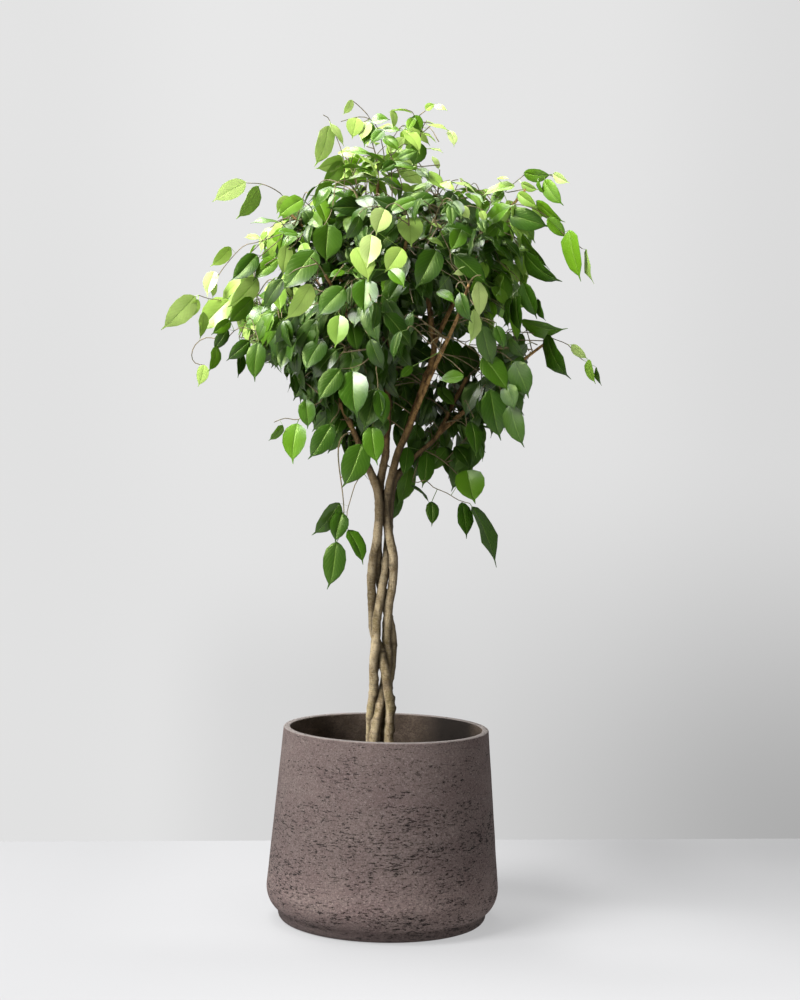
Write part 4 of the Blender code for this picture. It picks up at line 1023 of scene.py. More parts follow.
# The sprays give the crown its outline and its face. Each is a fine twig on one of the shoots, as
# points from its joint to its tip, with its leaves placed one by one: a leaf is the foot and the
# tip of its blade (across, up), its width as seen from the front, and its youth.
TWIG_END_RADIUS = 0.0006
SPRAY_TWIG_RADIUS = 0.0008
SPRAY_FACE = Vector((-0.22, -0.96, 0.35))
SPRAY_FOLD_SHIFT = 0.13
SPRAY_SLIMMEST = 0.48
SPRAY_BENDS = (0.3, 0.8)
TWIG_GREEN = (0.085, 0.075, 0.026)
TWIG_BROWN = (0.190, 0.135, 0.062)
Spray = namedtuple("Spray", "shoot twig leaves")
SPRAYS = [
    # top left
    Spray(2, [
        (-0.080, -0.010, 1.063), (-0.081, -0.014, 1.103), (-0.087, -0.018, 1.132), (-0.101, -0.022, 1.164),
        (-0.107, -0.026, 1.177), (-0.114, -0.030, 1.180),
    ], [
        (-0.102, 1.164, -0.118, 1.103, 0.018, 0.85), (-0.100, 1.170, -0.081, 1.137, 0.010, 0.90),
        (-0.081, 1.113, -0.113, 1.075, 0.013, 0.50), (-0.081, 1.117, -0.120, 1.098, 0.010, 0.75),
    ]),
    # top
    Spray(1, [
        (-0.024, -0.010, 1.120), (-0.029, -0.014, 1.148), (-0.035, -0.018, 1.165), (-0.046, -0.022, 1.177),
        (-0.063, -0.026, 1.179), (-0.088, -0.030, 1.171),
    ], [
        (-0.065, 1.178, -0.071, 1.146, 0.023, 0.85), (-0.043, 1.172, -0.056, 1.136, 0.018, 0.35),
        (-0.044, 1.175, -0.017, 1.179, 0.019, 0.30), (-0.042, 1.131, -0.089, 1.133, 0.019, 0.45),
        (-0.028, 1.165, 0.000, 1.160, 0.015, 0.40), (-0.026, 1.154, 0.000, 1.132, 0.016, 0.40),
        (-0.050, 1.174, -0.058, 1.144, 0.019, 0.95),
    ]),
    # top bare
    Spray(1, [(-0.046, -0.020, 1.178), (-0.059, -0.025, 1.192), (-0.071, -0.030, 1.201)], [
        (-0.071, 1.201, -0.083, 1.179, 0.007, 1.00),
    ]),
    # top right
    Spray(4, [
        (0.020, 0.000, 1.115), (0.026, -0.005, 1.144), (0.029, -0.010, 1.161), (0.033, -0.015, 1.172),
        (0.037, -0.020, 1.177),
    ], [
        (0.037, 1.175, 0.069, 1.164, 0.010, 0.85), (0.071, 1.165, 0.080, 1.139, 0.012, 0.85),
        (0.032, 1.163, 0.053, 1.148, 0.007, 0.85), (0.028, 1.146, 0.020, 1.110, 0.024, 0.15),
        (0.040, 1.141, 0.062, 1.133, 0.009, 0.70),
    ]),
    # top right 2
    Spray(4, [
        (0.029, -0.010, 1.161), (0.021, -0.013, 1.179), (0.015, -0.017, 1.190), (0.005, -0.020, 1.193),
    ], [
        (0.015, 1.192, -0.019, 1.192, 0.009, 1.00), (-0.011, 1.192, -0.009, 1.162, 0.009, 1.00),
        (0.019, 1.185, 0.029, 1.160, 0.016, 0.40), (0.018, 1.183, 0.008, 1.160, 0.012, 0.45),
    ]),
    # top right 3
    Spray(4, [(0.021, -0.010, 1.179), (0.037, -0.015, 1.194), (0.050, -0.020, 1.199)], [
        (0.034, 1.193, 0.047, 1.202, 0.010, 1.00), (0.047, 1.200, 0.066, 1.192, 0.012, 1.00),
    ]),
    # right shoulder
    Spray(5, [(0.037, -0.030, 1.068), (0.052, -0.040, 1.083), (0.072, -0.050, 1.088)], [
        (0.059, 1.087, 0.079, 1.073, 0.013, 0.90), (0.075, 1.089, 0.113, 1.072, 0.012, 0.65),
    ]),
    # left high
    Spray(8, [
        (-0.171, 0.000, 1.064), (-0.183, -0.007, 1.073), (-0.202, -0.013, 1.080), (-0.223, -0.020, 1.080),
    ], [
        (-0.224, 1.080, -0.273, 1.052, 0.021, 0.95), (-0.201, 1.074, -0.230, 1.023, 0.009, 0.60),
        (-0.161, 1.063, -0.181, 1.039, 0.018, 0.90),
    ]),
    # left high 2
    Spray(9, [(-0.126, -0.040, 1.038), (-0.139, -0.060, 1.054)], [
        (-0.139, 1.055, -0.176, 1.028, 0.023, 0.45),
    ]),
    # left upper
    Spray(12, [(-0.147, -0.060, 0.991), (-0.159, -0.065, 1.007), (-0.169, -0.070, 1.020)], [
        (-0.172, 1.023, -0.211, 1.019, 0.013, 0.30),
    ]),
    # left arch
    Spray(12, [
        (-0.167, -0.030, 1.004), (-0.187, -0.028, 1.000), (-0.208, -0.026, 0.993), (-0.227, -0.024, 0.987),
        (-0.252, -0.022, 0.959), (-0.265, -0.020, 0.939),
    ], [
        (-0.242, 0.984, -0.270, 0.954, 0.012, 1.00), (-0.268, 0.952, -0.277, 0.914, 0.019, 0.80),
        (-0.265, 0.936, -0.268, 0.911, 0.006, 0.90), (-0.202, 1.003, -0.223, 1.000, 0.012, 0.80),
        (-0.204, 0.976, -0.238, 0.932, 0.025, 0.00), (-0.200, 0.940, -0.240, 0.892, 0.021, 0.85),
        (-0.175, 0.970, -0.211, 0.939, 0.020, 0.25),
    ]),
    # left tip
    Spray(11, [
        (-0.244, 0.010, 0.905), (-0.261, 0.000, 0.910), (-0.276, -0.010, 0.911), (-0.290, -0.020, 0.915),
    ], [
        (-0.292, 0.912, -0.339, 0.861, 0.028, 0.75), (-0.289, 0.908, -0.301, 0.880, 0.009, 0.90),
        (-0.248, 0.912, -0.292, 0.864, 0.036, 0.80), (-0.280, 0.891, -0.285, 0.850, 0.009, 0.70),
    ]),
    # left low
    Spray(14, [(-0.213, -0.040, 0.883), (-0.203, -0.055, 0.862), (-0.197, -0.070, 0.848)], [
        (-0.209, 0.848, -0.241, 0.818, 0.017, 0.05), (-0.198, 0.847, -0.203, 0.790, 0.026, 0.20),
        (-0.223, 0.835, -0.228, 0.797, 0.006, 0.00),
    ]),
    # left low 2
    Spray(14, [
        (-0.204, -0.040, 0.863), (-0.227, -0.043, 0.868), (-0.241, -0.047, 0.856), (-0.253, -0.050, 0.841),
    ], [
        (-0.238, 0.877, -0.265, 0.857, 0.012, 0.35), (-0.242, 0.864, -0.264, 0.833, 0.012, 0.10),
        (-0.254, 0.840, -0.263, 0.801, 0.009, 0.45), (-0.206, 0.910, -0.242, 0.871, 0.013, 0.30),
    ]),
    # left lone
    Spray(14, [
        (-0.249, -0.030, 0.850), (-0.277, -0.028, 0.853), (-0.293, -0.026, 0.842), (-0.298, -0.024, 0.827),
        (-0.293, -0.022, 0.816), (-0.279, -0.020, 0.813),
    ], [
        (-0.277, 0.815, -0.283, 0.782, 0.015, 0.85),
    ]),
    # left bottom
    Spray(17, [
        (-0.103, -0.090, 0.768), (-0.120, -0.098, 0.754), (-0.135, -0.105, 0.737), (-0.154, -0.112, 0.738),
        (-0.169, -0.120, 0.732),
    ], [
        (-0.137, 0.733, -0.144, 0.676, 0.031, 0.40), (-0.155, 0.727, -0.174, 0.704, 0.007, 0.30),
        (-0.126, 0.765, -0.120, 0.724, 0.023, 0.10), (-0.145, 0.804, -0.140, 0.769, 0.010, 0.00),
    ]),
    # left bottom 2
    Spray(17, [(-0.080, -0.090, 0.759), (-0.089, -0.120, 0.733)], [
        (-0.088, 0.731, -0.115, 0.679, 0.028, 0.00),
    ]),
    # low left
    Spray(42, [
        (-0.049, -0.012, 0.659), (-0.055, -0.018, 0.643), (-0.061, -0.024, 0.621), (-0.065, -0.029, 0.604),
        (-0.065, -0.035, 0.588),
    ], [
        (-0.074, 0.615, -0.111, 0.565, 0.021, 0.10), (-0.071, 0.604, -0.083, 0.560, 0.025, 0.05),
        (-0.079, 0.561, -0.085, 0.491, 0.031, 0.10), (-0.059, 0.581, -0.034, 0.532, 0.019, 0.10),
    ]),
    # low right
    Spray(43, [
        (0.030, -0.010, 0.650), (0.048, -0.014, 0.653), (0.060, -0.018, 0.643), (0.080, -0.022, 0.635),
        (0.098, -0.026, 0.625), (0.114, -0.030, 0.621),
    ], [
        (0.030, 0.648, 0.059, 0.623, 0.006, 0.10), (0.059, 0.624, 0.061, 0.588, 0.018, 0.10),
        (0.109, 0.672, 0.119, 0.623, 0.040, 0.20), (0.105, 0.623, 0.113, 0.570, 0.021, 0.00),
        (0.126, 0.620, 0.162, 0.531, 0.018, 0.10),
    ]),
    # right low
    Spray(32, [
        (0.135, 0.000, 0.864), (0.153, -0.001, 0.872), (0.182, -0.003, 0.874), (0.213, -0.004, 0.871),
        (0.235, -0.006, 0.864), (0.253, -0.007, 0.857), (0.263, -0.009, 0.845), (0.275, -0.010, 0.835),
    ], [
        (0.182, 0.884, 0.249, 0.870, 0.012, 0.30), (0.213, 0.867, 0.248, 0.801, 0.022, 0.05),
        (0.256, 0.855, 0.281, 0.835, 0.012, 0.70), (0.278, 0.835, 0.290, 0.800, 0.013, 0.55),
        (0.292, 0.824, 0.300, 0.797, 0.006, 0.20),
    ]),
    # right bottom
    Spray(33, [
        (0.106, -0.080, 0.850), (0.128, -0.087, 0.843), (0.149, -0.093, 0.840), (0.166, -0.100, 0.828),
    ], [
        (0.167, 0.826, 0.191, 0.776, 0.033, 0.05), (0.161, 0.860, 0.184, 0.831, 0.013, 0.10),
        (0.126, 0.836, 0.163, 0.786, 0.032, 0.20), (0.157, 0.795, 0.170, 0.758, 0.026, 0.10),
    ]),
    # right bottom 2
    Spray(33, [
        (0.121, -0.070, 0.843), (0.136, -0.077, 0.815), (0.151, -0.083, 0.789), (0.163, -0.090, 0.767),
    ], [
        (0.137, 0.786, 0.151, 0.713, 0.034, 0.00), (0.163, 0.765, 0.182, 0.704, 0.029, 0.10),
    ]),
    # right bottom 3
    Spray(36, [(0.102, -0.050, 0.771), (0.115, -0.070, 0.746)], [
        (0.115, 0.743, 0.121, 0.691, 0.020, 0.10), (0.126, 0.710, 0.134, 0.683, 0.007, 0.10),
    ]),
    # right hanging
    Spray(29, [(0.149, -0.020, 0.975), (0.171, -0.030, 0.955), (0.181, -0.040, 0.940)], [
        (0.179, 0.942, 0.203, 0.891, 0.022, 0.00), (0.200, 0.919, 0.211, 0.887, 0.009, 0.00),
        (0.157, 0.921, 0.158, 0.873, 0.015, 0.00), (0.167, 0.924, 0.177, 0.870, 0.017, 0.00),
    ]),
    # right arch
    Spray(28, [
        (0.154, -0.030, 1.052), (0.175, -0.034, 1.057), (0.204, -0.038, 1.047), (0.228, -0.042, 1.027),
        (0.242, -0.046, 1.012), (0.266, -0.050, 0.994),
    ], [
        (0.195, 1.059, 0.236, 1.026, 0.013, 0.40), (0.157, 1.045, 0.218, 1.025, 0.029, 0.00),
        (0.215, 1.037, 0.244, 1.009, 0.017, 0.25), (0.240, 1.019, 0.261, 0.946, 0.025, 0.35),
        (0.265, 0.992, 0.276, 0.940, 0.010, 0.60), (0.169, 1.072, 0.199, 1.052, 0.015, 0.60),
    ]),
    # right arch 2
    Spray(28, [
        (0.133, -0.030, 1.027), (0.147, -0.033, 1.018), (0.165, -0.037, 1.011), (0.175, -0.040, 0.995),
    ], [
        (0.175, 1.010, 0.218, 0.960, 0.007, 0.20), (0.175, 0.982, 0.230, 0.937, 0.012, 0.05),
        (0.147, 1.017, 0.181, 0.981, 0.010, 0.00), (0.140, 1.005, 0.173, 0.972, 0.012, 0.00),
    ]),
    # right tip
    Spray(27, [
        (0.155, 0.000, 1.079), (0.174, -0.005, 1.097), (0.190, -0.010, 1.108), (0.212, -0.015, 1.105),
        (0.228, -0.020, 1.099),
    ], [
        (0.180, 1.103, 0.221, 1.099, 0.012, 0.30), (0.221, 1.103, 0.244, 1.089, 0.010, 0.75),
        (0.206, 1.094, 0.234, 1.056, 0.018, 0.30), (0.176, 1.090, 0.201, 1.078, 0.009, 0.60),
        (0.199, 1.093, 0.208, 1.074, 0.006, 0.40), (0.167, 1.091, 0.120, 1.076, 0.021, 0.60),
        (0.142, 1.100, 0.159, 1.098, 0.007, 1.00), (0.150, 1.081, 0.133, 1.057, 0.018, 0.50),
    ]),
    # front left
    Spray(24, [
        (-0.095, -0.130, 1.029), (-0.107, -0.135, 1.003), (-0.113, -0.140, 0.974), (-0.111, -0.145, 0.943),
        (-0.117, -0.150, 0.925),
    ], [
        (-0.097, 1.011, -0.101, 0.956, 0.039, 0.15), (-0.115, 0.975, -0.157, 0.913, 0.037, 0.10),
        (-0.117, 0.924, -0.149, 0.870, 0.020, 0.90),
    ]),
    # front
    Spray(22, [
        (-0.006, -0.170, 1.039), (-0.020, -0.175, 1.029), (-0.033, -0.180, 1.000), (-0.049, -0.185, 0.977),
        (-0.043, -0.190, 0.936),
    ], [
        (-0.056, 0.977, -0.034, 0.930, 0.030, 0.80), (-0.036, 0.994, -0.040, 0.947, 0.028, 0.80),
        (-0.019, 1.030, -0.032, 0.994, 0.028, 0.75), (0.006, 0.976, -0.015, 0.941, 0.028, 0.80),
        (-0.010, 0.947, 0.013, 0.923, 0.019, 0.40), (-0.043, 0.933, -0.044, 0.883, 0.033, 0.05),
    ]),
    # front right
    Spray(23, [
        (0.041, -0.130, 1.042), (0.058, -0.133, 1.007), (0.073, -0.137, 0.977), (0.076, -0.140, 0.960),
        (0.096, -0.143, 0.942), (0.103, -0.147, 0.910), (0.113, -0.150, 0.898),
    ], [
        (0.014, 1.029, 0.020, 0.982, 0.034, 0.60), (0.055, 0.980, 0.028, 0.922, 0.034, 0.10),
        (0.089, 1.010, 0.076, 0.976, 0.023, 0.25), (0.081, 0.975, 0.129, 0.931, 0.028, 0.10),
        (0.117, 0.936, 0.118, 0.883, 0.014, 0.85), (0.112, 0.895, 0.109, 0.846, 0.011, 0.70),
        (0.099, 0.953, 0.078, 0.943, 0.008, 0.90), (0.057, 0.924, 0.083, 0.906, 0.017, 0.20),
    ]),
    # front right 2
    Spray(23, [
        (0.059, -0.120, 1.009), (0.079, -0.123, 1.034), (0.100, -0.127, 1.043), (0.117, -0.130, 1.037),
    ], [
        (0.087, 1.042, 0.100, 1.024, 0.013, 0.95), (0.115, 1.035, 0.122, 1.021, 0.010, 0.85),
        (0.047, 1.019, 0.065, 1.012, 0.007, 0.80), (0.042, 0.999, 0.067, 0.985, 0.011, 0.60),
    ]),
    # mid left
    Spray(21, [
        (-0.063, -0.140, 0.930), (-0.073, -0.147, 0.922), (-0.076, -0.153, 0.905), (-0.080, -0.160, 0.886),
    ], [
        (-0.074, 0.922, -0.112, 0.881, 0.032, 0.05), (-0.079, 0.883, -0.082, 0.837, 0.028, 0.55),
        (-0.061, 0.874, -0.053, 0.832, 0.022, 0.05),
    ]),
    # lower front
    Spray(21, [
        (-0.030, -0.150, 0.836), (-0.042, -0.157, 0.819), (-0.060, -0.163, 0.810), (-0.073, -0.170, 0.809),
    ], [
        (-0.075, 0.808, -0.108, 0.763, 0.028, 0.05), (-0.058, 0.807, -0.055, 0.742, 0.039, 0.05),
    ]),
    # lower front 2
    Spray(21, [
        (-0.030, -0.150, 0.836), (-0.026, -0.155, 0.808), (-0.023, -0.160, 0.783), (-0.028, -0.165, 0.733),
        (-0.040, -0.170, 0.706),
    ], [
        (-0.026, 0.782, -0.039, 0.723, 0.034, 0.05), (-0.019, 0.782, -0.013, 0.730, 0.020, 0.05),
        (-0.042, 0.705, -0.063, 0.642, 0.036, 0.10), (-0.030, 0.731, -0.023, 0.677, 0.028, 0.25),
    ]),
    # behind the stems
    Spray(43, [
        (0.069, 0.045, 0.712), (0.047, 0.042, 0.703), (0.028, 0.038, 0.684), (0.017, 0.035, 0.663),
    ], [
        (0.027, 0.675, 0.015, 0.611, 0.021, 0.15), (0.008, 0.639, 0.001, 0.586, 0.019, 0.05),
        (0.058, 0.697, 0.030, 0.654, 0.024, 0.05), (0.079, 0.701, 0.053, 0.664, 0.022, 0.10),
        (0.042, 0.712, 0.026, 0.669, 0.021, 0.05), (0.002, 0.770, -0.007, 0.725, 0.019, 0.00),
        (0.022, 0.759, 0.010, 0.711, 0.021, 0.00),
    ]),
    # behind right
    Spray(43, [
        (0.125, 0.030, 0.736), (0.111, 0.030, 0.719), (0.102, 0.030, 0.704), (0.097, 0.030, 0.691),
    ], [
        (0.114, 0.707, 0.082, 0.662, 0.027, 0.10), (0.093, 0.707, 0.118, 0.672, 0.022, 0.05),
        (0.103, 0.691, 0.091, 0.635, 0.022, 0.05), (0.129, 0.714, 0.115, 0.669, 0.021, 0.00),
    ]),
    # low in the heart
    Spray(43, [
        (0.069, 0.050, 0.715), (0.055, 0.058, 0.737), (0.040, 0.060, 0.742), (0.022, 0.060, 0.738),
    ], [
        (0.015, 0.744, 0.005, 0.697, 0.022, 0.00), (0.036, 0.735, 0.028, 0.684, 0.024, 0.05),
        (0.063, 0.730, 0.072, 0.679, 0.022, 0.00), (0.052, 0.694, 0.047, 0.642, 0.022, 0.05),
        (0.023, 0.702, 0.017, 0.657, 0.020, 0.00), (0.084, 0.755, 0.092, 0.713, 0.020, 0.00),
        (0.079, 0.703, 0.089, 0.656, 0.022, 0.05),
    ]),
    # top middle
    Spray(3, [
        (0.003, -0.030, 1.075), (0.000, -0.033, 1.091), (-0.006, -0.037, 1.108), (-0.018, -0.040, 1.128),
    ], [
        (-0.004, 1.119, 0.025, 1.130, 0.015, 0.20), (-0.026, 1.159, -0.043, 1.138, 0.017, 0.30),
        (-0.041, 1.105, -0.096, 1.107, 0.012, 0.35), (-0.038, 1.098, -0.077, 1.089, 0.017, 0.90),
        (0.003, 1.083, -0.046, 1.092, 0.017, 0.10), (-0.006, 1.113, -0.028, 1.098, 0.015, 0.05),
        (-0.011, 1.113, 0.026, 1.106, 0.013, 0.40), (0.035, 1.102, 0.069, 1.075, 0.017, 0.60),
        (0.024, 1.106, 0.044, 1.090, 0.015, 0.05),
    ]),
    # behind the leaders
    Spray(34, [
        (0.127, 0.090, 0.868), (0.106, 0.091, 0.862), (0.085, 0.093, 0.865), (0.073, 0.094, 0.852),
    ], [
        (0.078, 0.867, 0.098, 0.819, 0.030, 0.00), (0.106, 0.857, 0.123, 0.805, 0.027, 0.00),
        (0.067, 0.846, 0.080, 0.797, 0.024, 0.00), (0.095, 0.834, 0.108, 0.786, 0.024, 0.00),
    ]),
    # mid right
    Spray(26, [(0.063, -0.120, 0.837), (0.080, -0.130, 0.823), (0.096, -0.140, 0.808)], [
        (0.096, 0.806, 0.061, 0.798, 0.020, 0.20), (0.025, 0.816, 0.007, 0.799, 0.011, 0.30),
    ]),
]

twig_skin = Surface("fig_twig")
warm = twig_skin.band(twig_skin.grain(120, 120, 3, 0.6), 0.35, 0.68)
twig_skin.set(Base_Color=twig_skin.blend(warm, TWIG_GREEN, TWIG_BROWN), Roughness=0.6)
twig_skin.relief(warm, 0.4, 0.0003)

shown_leaves = []
for spray in SPRAYS:
    depth = spray.twig[0][1]
    for foot_x, foot_z, tip_x, tip_z, width, _ in spray.leaves:
        middle = seen_from_front(Vector(((foot_x + tip_x) / 2, depth, (foot_z + tip_z) / 2)))
        reach = 0.35 * math.hypot(tip_x - foot_x, tip_z - foot_z) + 0.3 * width + 0.004
        shown_leaves.append((middle, depth, reach))


def hides_spray(point):
    """Whether a leaf here would cover one of the sprays' leaves."""
    x, z = seen_from_front(point)
    return any(
        point.y < depth + 0.004 and math.hypot(x - middle[0], z - middle[1]) < reach
        for middle, depth, reach in shown_leaves
    )


def move_into(bm, added):
    """Adds one bmesh's shape to another's and lets it go."""
    passing = bpy.data.meshes.new("passing")
    added.to_mesh(passing)
    added.free()
    bm.from_mesh(passing)
    bpy.data.meshes.remove(passing)


def add_twig(wood, route, thick):
    move_into(wood, tube(route, tapered(thick, TWIG_END_RADIUS, route), 6))


def grow_spray(wood, leaves, main, spray, chance):
    """A spray's twig, joined to its shoot, and its leaves at their places."""
    points = [Vector(p) for p in spray.twig]
    joined = min(main, key=lambda p: (p - points[0]).length)
    route = smooth_route([joined, *points], 0.008)
    add_twig(wood, route, SPRAY_TWIG_RADIUS)
    for foot_x, foot_z, tip_x, tip_z, seen_width, youth in spray.leaves:
        foot = Vector((foot_x, 0, foot_z))
        root = min(route, key=lambda p: (Vector((p.x, 0, p.z)) - foot).length)
        neck = Vector((foot_x, root.y - 0.004, foot_z))
        tip = Vector((tip_x, neck.y + chance.uniform(-0.018, 0.002), tip_z))
        bend = chance.uniform(*SPRAY_BENDS)
        chord = tip - neck
        length = chord.length * (bend / 2) / math.sin(bend / 2)
        width = max(1.1 * seen_width, length * SPRAY_SLIMMEST)
        seen_share = min(1, 1.06 * seen_width / width)
        loose = 0.16 * seen_share ** 2
        face = SPRAY_FACE + Vector([chance.uniform(-loose, loose) for _ in range(3)])
        face = (face - chord * face.dot(chord) / chord.length_squared).normalized()
        edge_on = math.acos(seen_share)
        if (chord.x * 0.3 - chord.z) * (1 if foot_x < 0.15 else -1) > 0:
            edge_on = -edge_on
        face = Matrix.Rotation(edge_on, 3, chord) @ face
        axis = Matrix.Rotation(bend / 2, 3, chord.cross(face)) @ chord.normalized()
        neck -= Vector((face.x, 0, face.z)) * (SPRAY_FOLD_SHIFT * width + length * bend / 9)
        add_leaf(leaves, root, neck, axis, face, length, width, youth, bend, chance)


# A shoot is a green-brown twig with shorter side twigs and alternate leaves that hang outwards.
# It grows from a branch's bark, the given share of the way along, to its tip, where a hang of 1
# droops and one below 0 climbs. The youngest leaves, lime green, are at the ends of the shoots.
TWIG_RADIUS = 0.0013
SIDE_TWIG_RADIUS = 0.7 * TWIG_RADIUS
SIDE_TWIG_SPACING = 0.013
BACK_TWIG_SPACING = 0.011
SIDE_TWIG_REACH = (0.040, 0.078)
INNER_TWIGS = 9
INNER_TWIG_REACH = (0.045, 0.110)
FIRST_SIDE_LEAF = 0.012
LEAF_SPACING = 0.015
LEAF_WIDTH_SHARE = 0.46
LEAF_LENGTHS = (0.62, 1.12)
LEAF_BENDS = (0.25, 1.2)
STALK_LENGTHS = (0.12, 0.22)
SUNNY_SIDE = Vector((-0.15, -0.75, 0.35))
LONE_SHOOT = 42  # low on the left, and bare but for its spray
Shoot = namedtuple("Shoot", "parent share tip hang leaf_length youth")
SHOOTS = [
    Shoot("stem_3", 1.00, (-0.056, -0.020, 1.172), -0.8, 0.044, 0.8),
    Shoot("stem_3", 0.95, (-0.112, -0.045, 1.150), 0.3, 0.056, 0.9),
    Shoot("stem_3", 0.91, (0.006, -0.040, 1.180), -0.2, 0.050, 0.6),
    Shoot("stem_2", 1.00, (0.046, -0.004, 1.176), -0.5, 0.046, 0.9),
    Shoot("stem_2", 0.94, (0.100, -0.040, 1.092), 0.3, 0.046, 0.6),
    Shoot("stem_3", 0.86, (-0.070, 0.100, 1.125), 0.4, 0.056, 0.4),
    Shoot("stem_2", 0.88, (0.060, 0.110, 1.115), 0.4, 0.056, 0.3),
    Shoot("branch_left_high", 1.00, (-0.236, -0.010, 1.080), 0.1, 0.052, 0.9),
    Shoot("branch_left_high", 0.78, (-0.205, -0.060, 1.040), 0.6, 0.056, 0.5),
    Shoot("branch_left_high", 0.60, (-0.160, 0.090, 1.060), 0.5, 0.058, 0.2),
    Shoot("branch_left_mid", 1.00, (-0.300, -0.010, 0.912), 0.3, 0.058, 0.5),
    Shoot("branch_left_mid", 0.82, (-0.268, -0.055, 0.965), 0.3, 0.050, 0.9),
    Shoot("branch_left_mid", 0.62, (-0.236, 0.095, 0.925), 0.6, 0.060, 0.1),
    Shoot("branch_left_mid", 0.72, (-0.268, -0.020, 0.845), 0.8, 0.054, 0.5),
    Shoot("branch_left_mid", 0.40, (-0.190, -0.085, 0.850), 0.8, 0.062, 0.1),
    Shoot("stem_4", 1.00, (-0.185, -0.120, 0.925), 0.5, 0.064, 0.1),
    Shoot("stem_4", 0.90, (-0.150, -0.100, 0.775), 0.9, 0.060, 0.2),
    Shoot("stem_4", 0.80, (-0.110, 0.105, 0.790), 0.9, 0.062, 0.0),
    Shoot("branch_front_left", 1.00, (-0.130, -0.235, 0.945), 0.7, 0.066, 0.0),
    Shoot("branch_front_left", 0.72, (-0.035, -0.215, 0.900), 0.9, 0.066, 0.0),
    Shoot("branch_front_left", 0.50, (-0.085, -0.165, 0.800), 1.0, 0.068, 0.0),
    Shoot("branch_front", 1.00, (-0.010, -0.225, 1.015), 0.7, 0.060, 0.5),
    Shoot("branch_front", 0.62, (0.075, -0.150, 1.045), 0.6, 0.056, 0.6),
    Shoot("branch_front", 0.50, (-0.090, -0.120, 1.070), 0.5, 0.058, 0.3),
    Shoot("branch_front_right", 1.00, (0.130, -0.230, 0.920), 0.8, 0.062, 0.1),
    Shoot("branch_front_right", 0.60, (0.045, -0.185, 0.830), 1.0, 0.062, 0.0),
    Shoot("branch_right_high", 1.00, (0.226, -0.010, 1.108), 0.1, 0.048, 0.3),
    Shoot("branch_right_high", 0.80, (0.262, -0.030, 1.010), 0.9, 0.062, 0.4),
    Shoot("branch_right_high", 0.62, (0.222, 0.040, 0.985), 0.9, 0.052, 0.0),
    Shoot("branch_right_high", 0.42, (0.145, -0.110, 1.055), 0.5, 0.058, 0.3),
    Shoot("branch_right_high", 0.50, (0.150, 0.115, 1.050), 0.6, 0.058, 0.2),
    Shoot("branch_right_mid", 1.00, (0.285, -0.010, 0.855), 0.7, 0.052, 0.0),
    Shoot("branch_right_mid", 0.72, (0.218, -0.095, 0.845), 0.9, 0.058, 0.0),
    Shoot("branch_right_mid", 0.60, (0.226, 0.095, 0.850), 0.8, 0.058, 0.0),
    Shoot("stem_1", 1.00, (0.180, -0.030, 0.775), 1.0, 0.060, 0.0),
    Shoot("stem_1", 0.88, (0.118, -0.060, 0.700), 1.0, 0.058, 0.0),
    Shoot("stem_1", 0.92, (0.095, 0.140, 0.790), 0.9, 0.060, 0.0),
    Shoot("branch_back", 1.00, (0.020, 0.235, 0.955), 0.8, 0.062, 0.1),
    Shoot("branch_back", 0.60, (-0.025, 0.195, 0.840), 1.0, 0.062, 0.0),
    Shoot("branch_back_left", 1.00, (-0.170, 0.225, 0.945), 0.8, 0.062, 0.2),
    Shoot("branch_back_right", 1.00, (0.185, 0.220, 0.955), 0.8, 0.062, 0.2),
    Shoot("stem_4", 0.78, (-0.074, -0.012, 0.575), 1.0, 0.066, 0.0),
    Shoot("stem_1", 0.80, (0.136, 0.004, 0.592), 1.0, 0.056, 0.0),
]


def fork_of(shoot, tip):
    """Where a shoot leaves its parent's bark and the way it first points."""
    route = wood_routes[shoot.parent]
    if shoot.share >= 1:
        return route[-1], (route[-1] - route[-3]).normalized()
    place = shoot.share * (len(route) - 1)
    index = min(int(place), len(route) - 2)
    start = route[index]
    along = (route[index + 1] - route[index]).normalized()
    aim = (tip - start).normalized()
    outward = (aim - along * aim.dot(along)).normalized()
    return start, (outward + 0.55 * along).normalized()


def twig_route(start, direction, tip, hang, steps=16):
    """A curve that leaves the bark, reaches out and then rises or hangs at its tip."""
    span = (tip - start).length
    outward = Vector((tip.x - start.x, tip.y - start.y, 0)).normalized()
    end_along = (outward * (1 - 0.6 * abs(hang)) - UP * hang).normalized()
    a, b, c, d = start, start + direction * 0.36 * span, tip - end_along * 0.34 * span, tip
    route = []
    for i in range(steps + 1):
        t = i / steps
        route.append((1 - t)**3 * a + 3 * t * (1 - t)**2 * b + 3 * t**2 * (1 - t) * c + t**3 * d)
    return route


def distances(route):
    """How far along its route each point is."""
    return list(accumulate(((b - a).length for a, b in zip(route, route[1:])), initial=0))


def walk(route, spot):
    """The place this far along a route and the direction there."""
    for a, b in zip(route, route[1:]):
        step = (b - a).length
        if spot <= step or b is route[-1]:
            return a.lerp(b, min(1, spot / step)), (b - a).normalized()
        spot -= step


def level_across(along, otherwise, upright=0.2):
    """A level direction across a twig, or the other one given where the twig is nearly upright."""
    across = along.cross(UP)
    return across.normalized() if across.length > upright else otherwise


def youth_with_painted_light(shoot, share, root, chance):
    """Young and lime towards the shoot's end; the extra lime high in the crown and out at its left and
    right is painted light.
    """
    lime = shoot.youth * (0.05 + 0.9 * share) + chance.uniform(-0.3, 0.12)
    # Painted light: leaves high in the crown and out at its left and right are made limer, and so lighter.
    lime += 2.2 * max(0, root.z - 1.05) / 0.14 + 0.95 * min(1, max(0, -root.x - 0.12) / 0.08)
    lime += 0.80 * min(1, max(0, root.x - 0.09) / 0.05) * min(1, max(0, root.z - 0.86) / 0.05)
    return min(1, max(0, lime - 0.25))


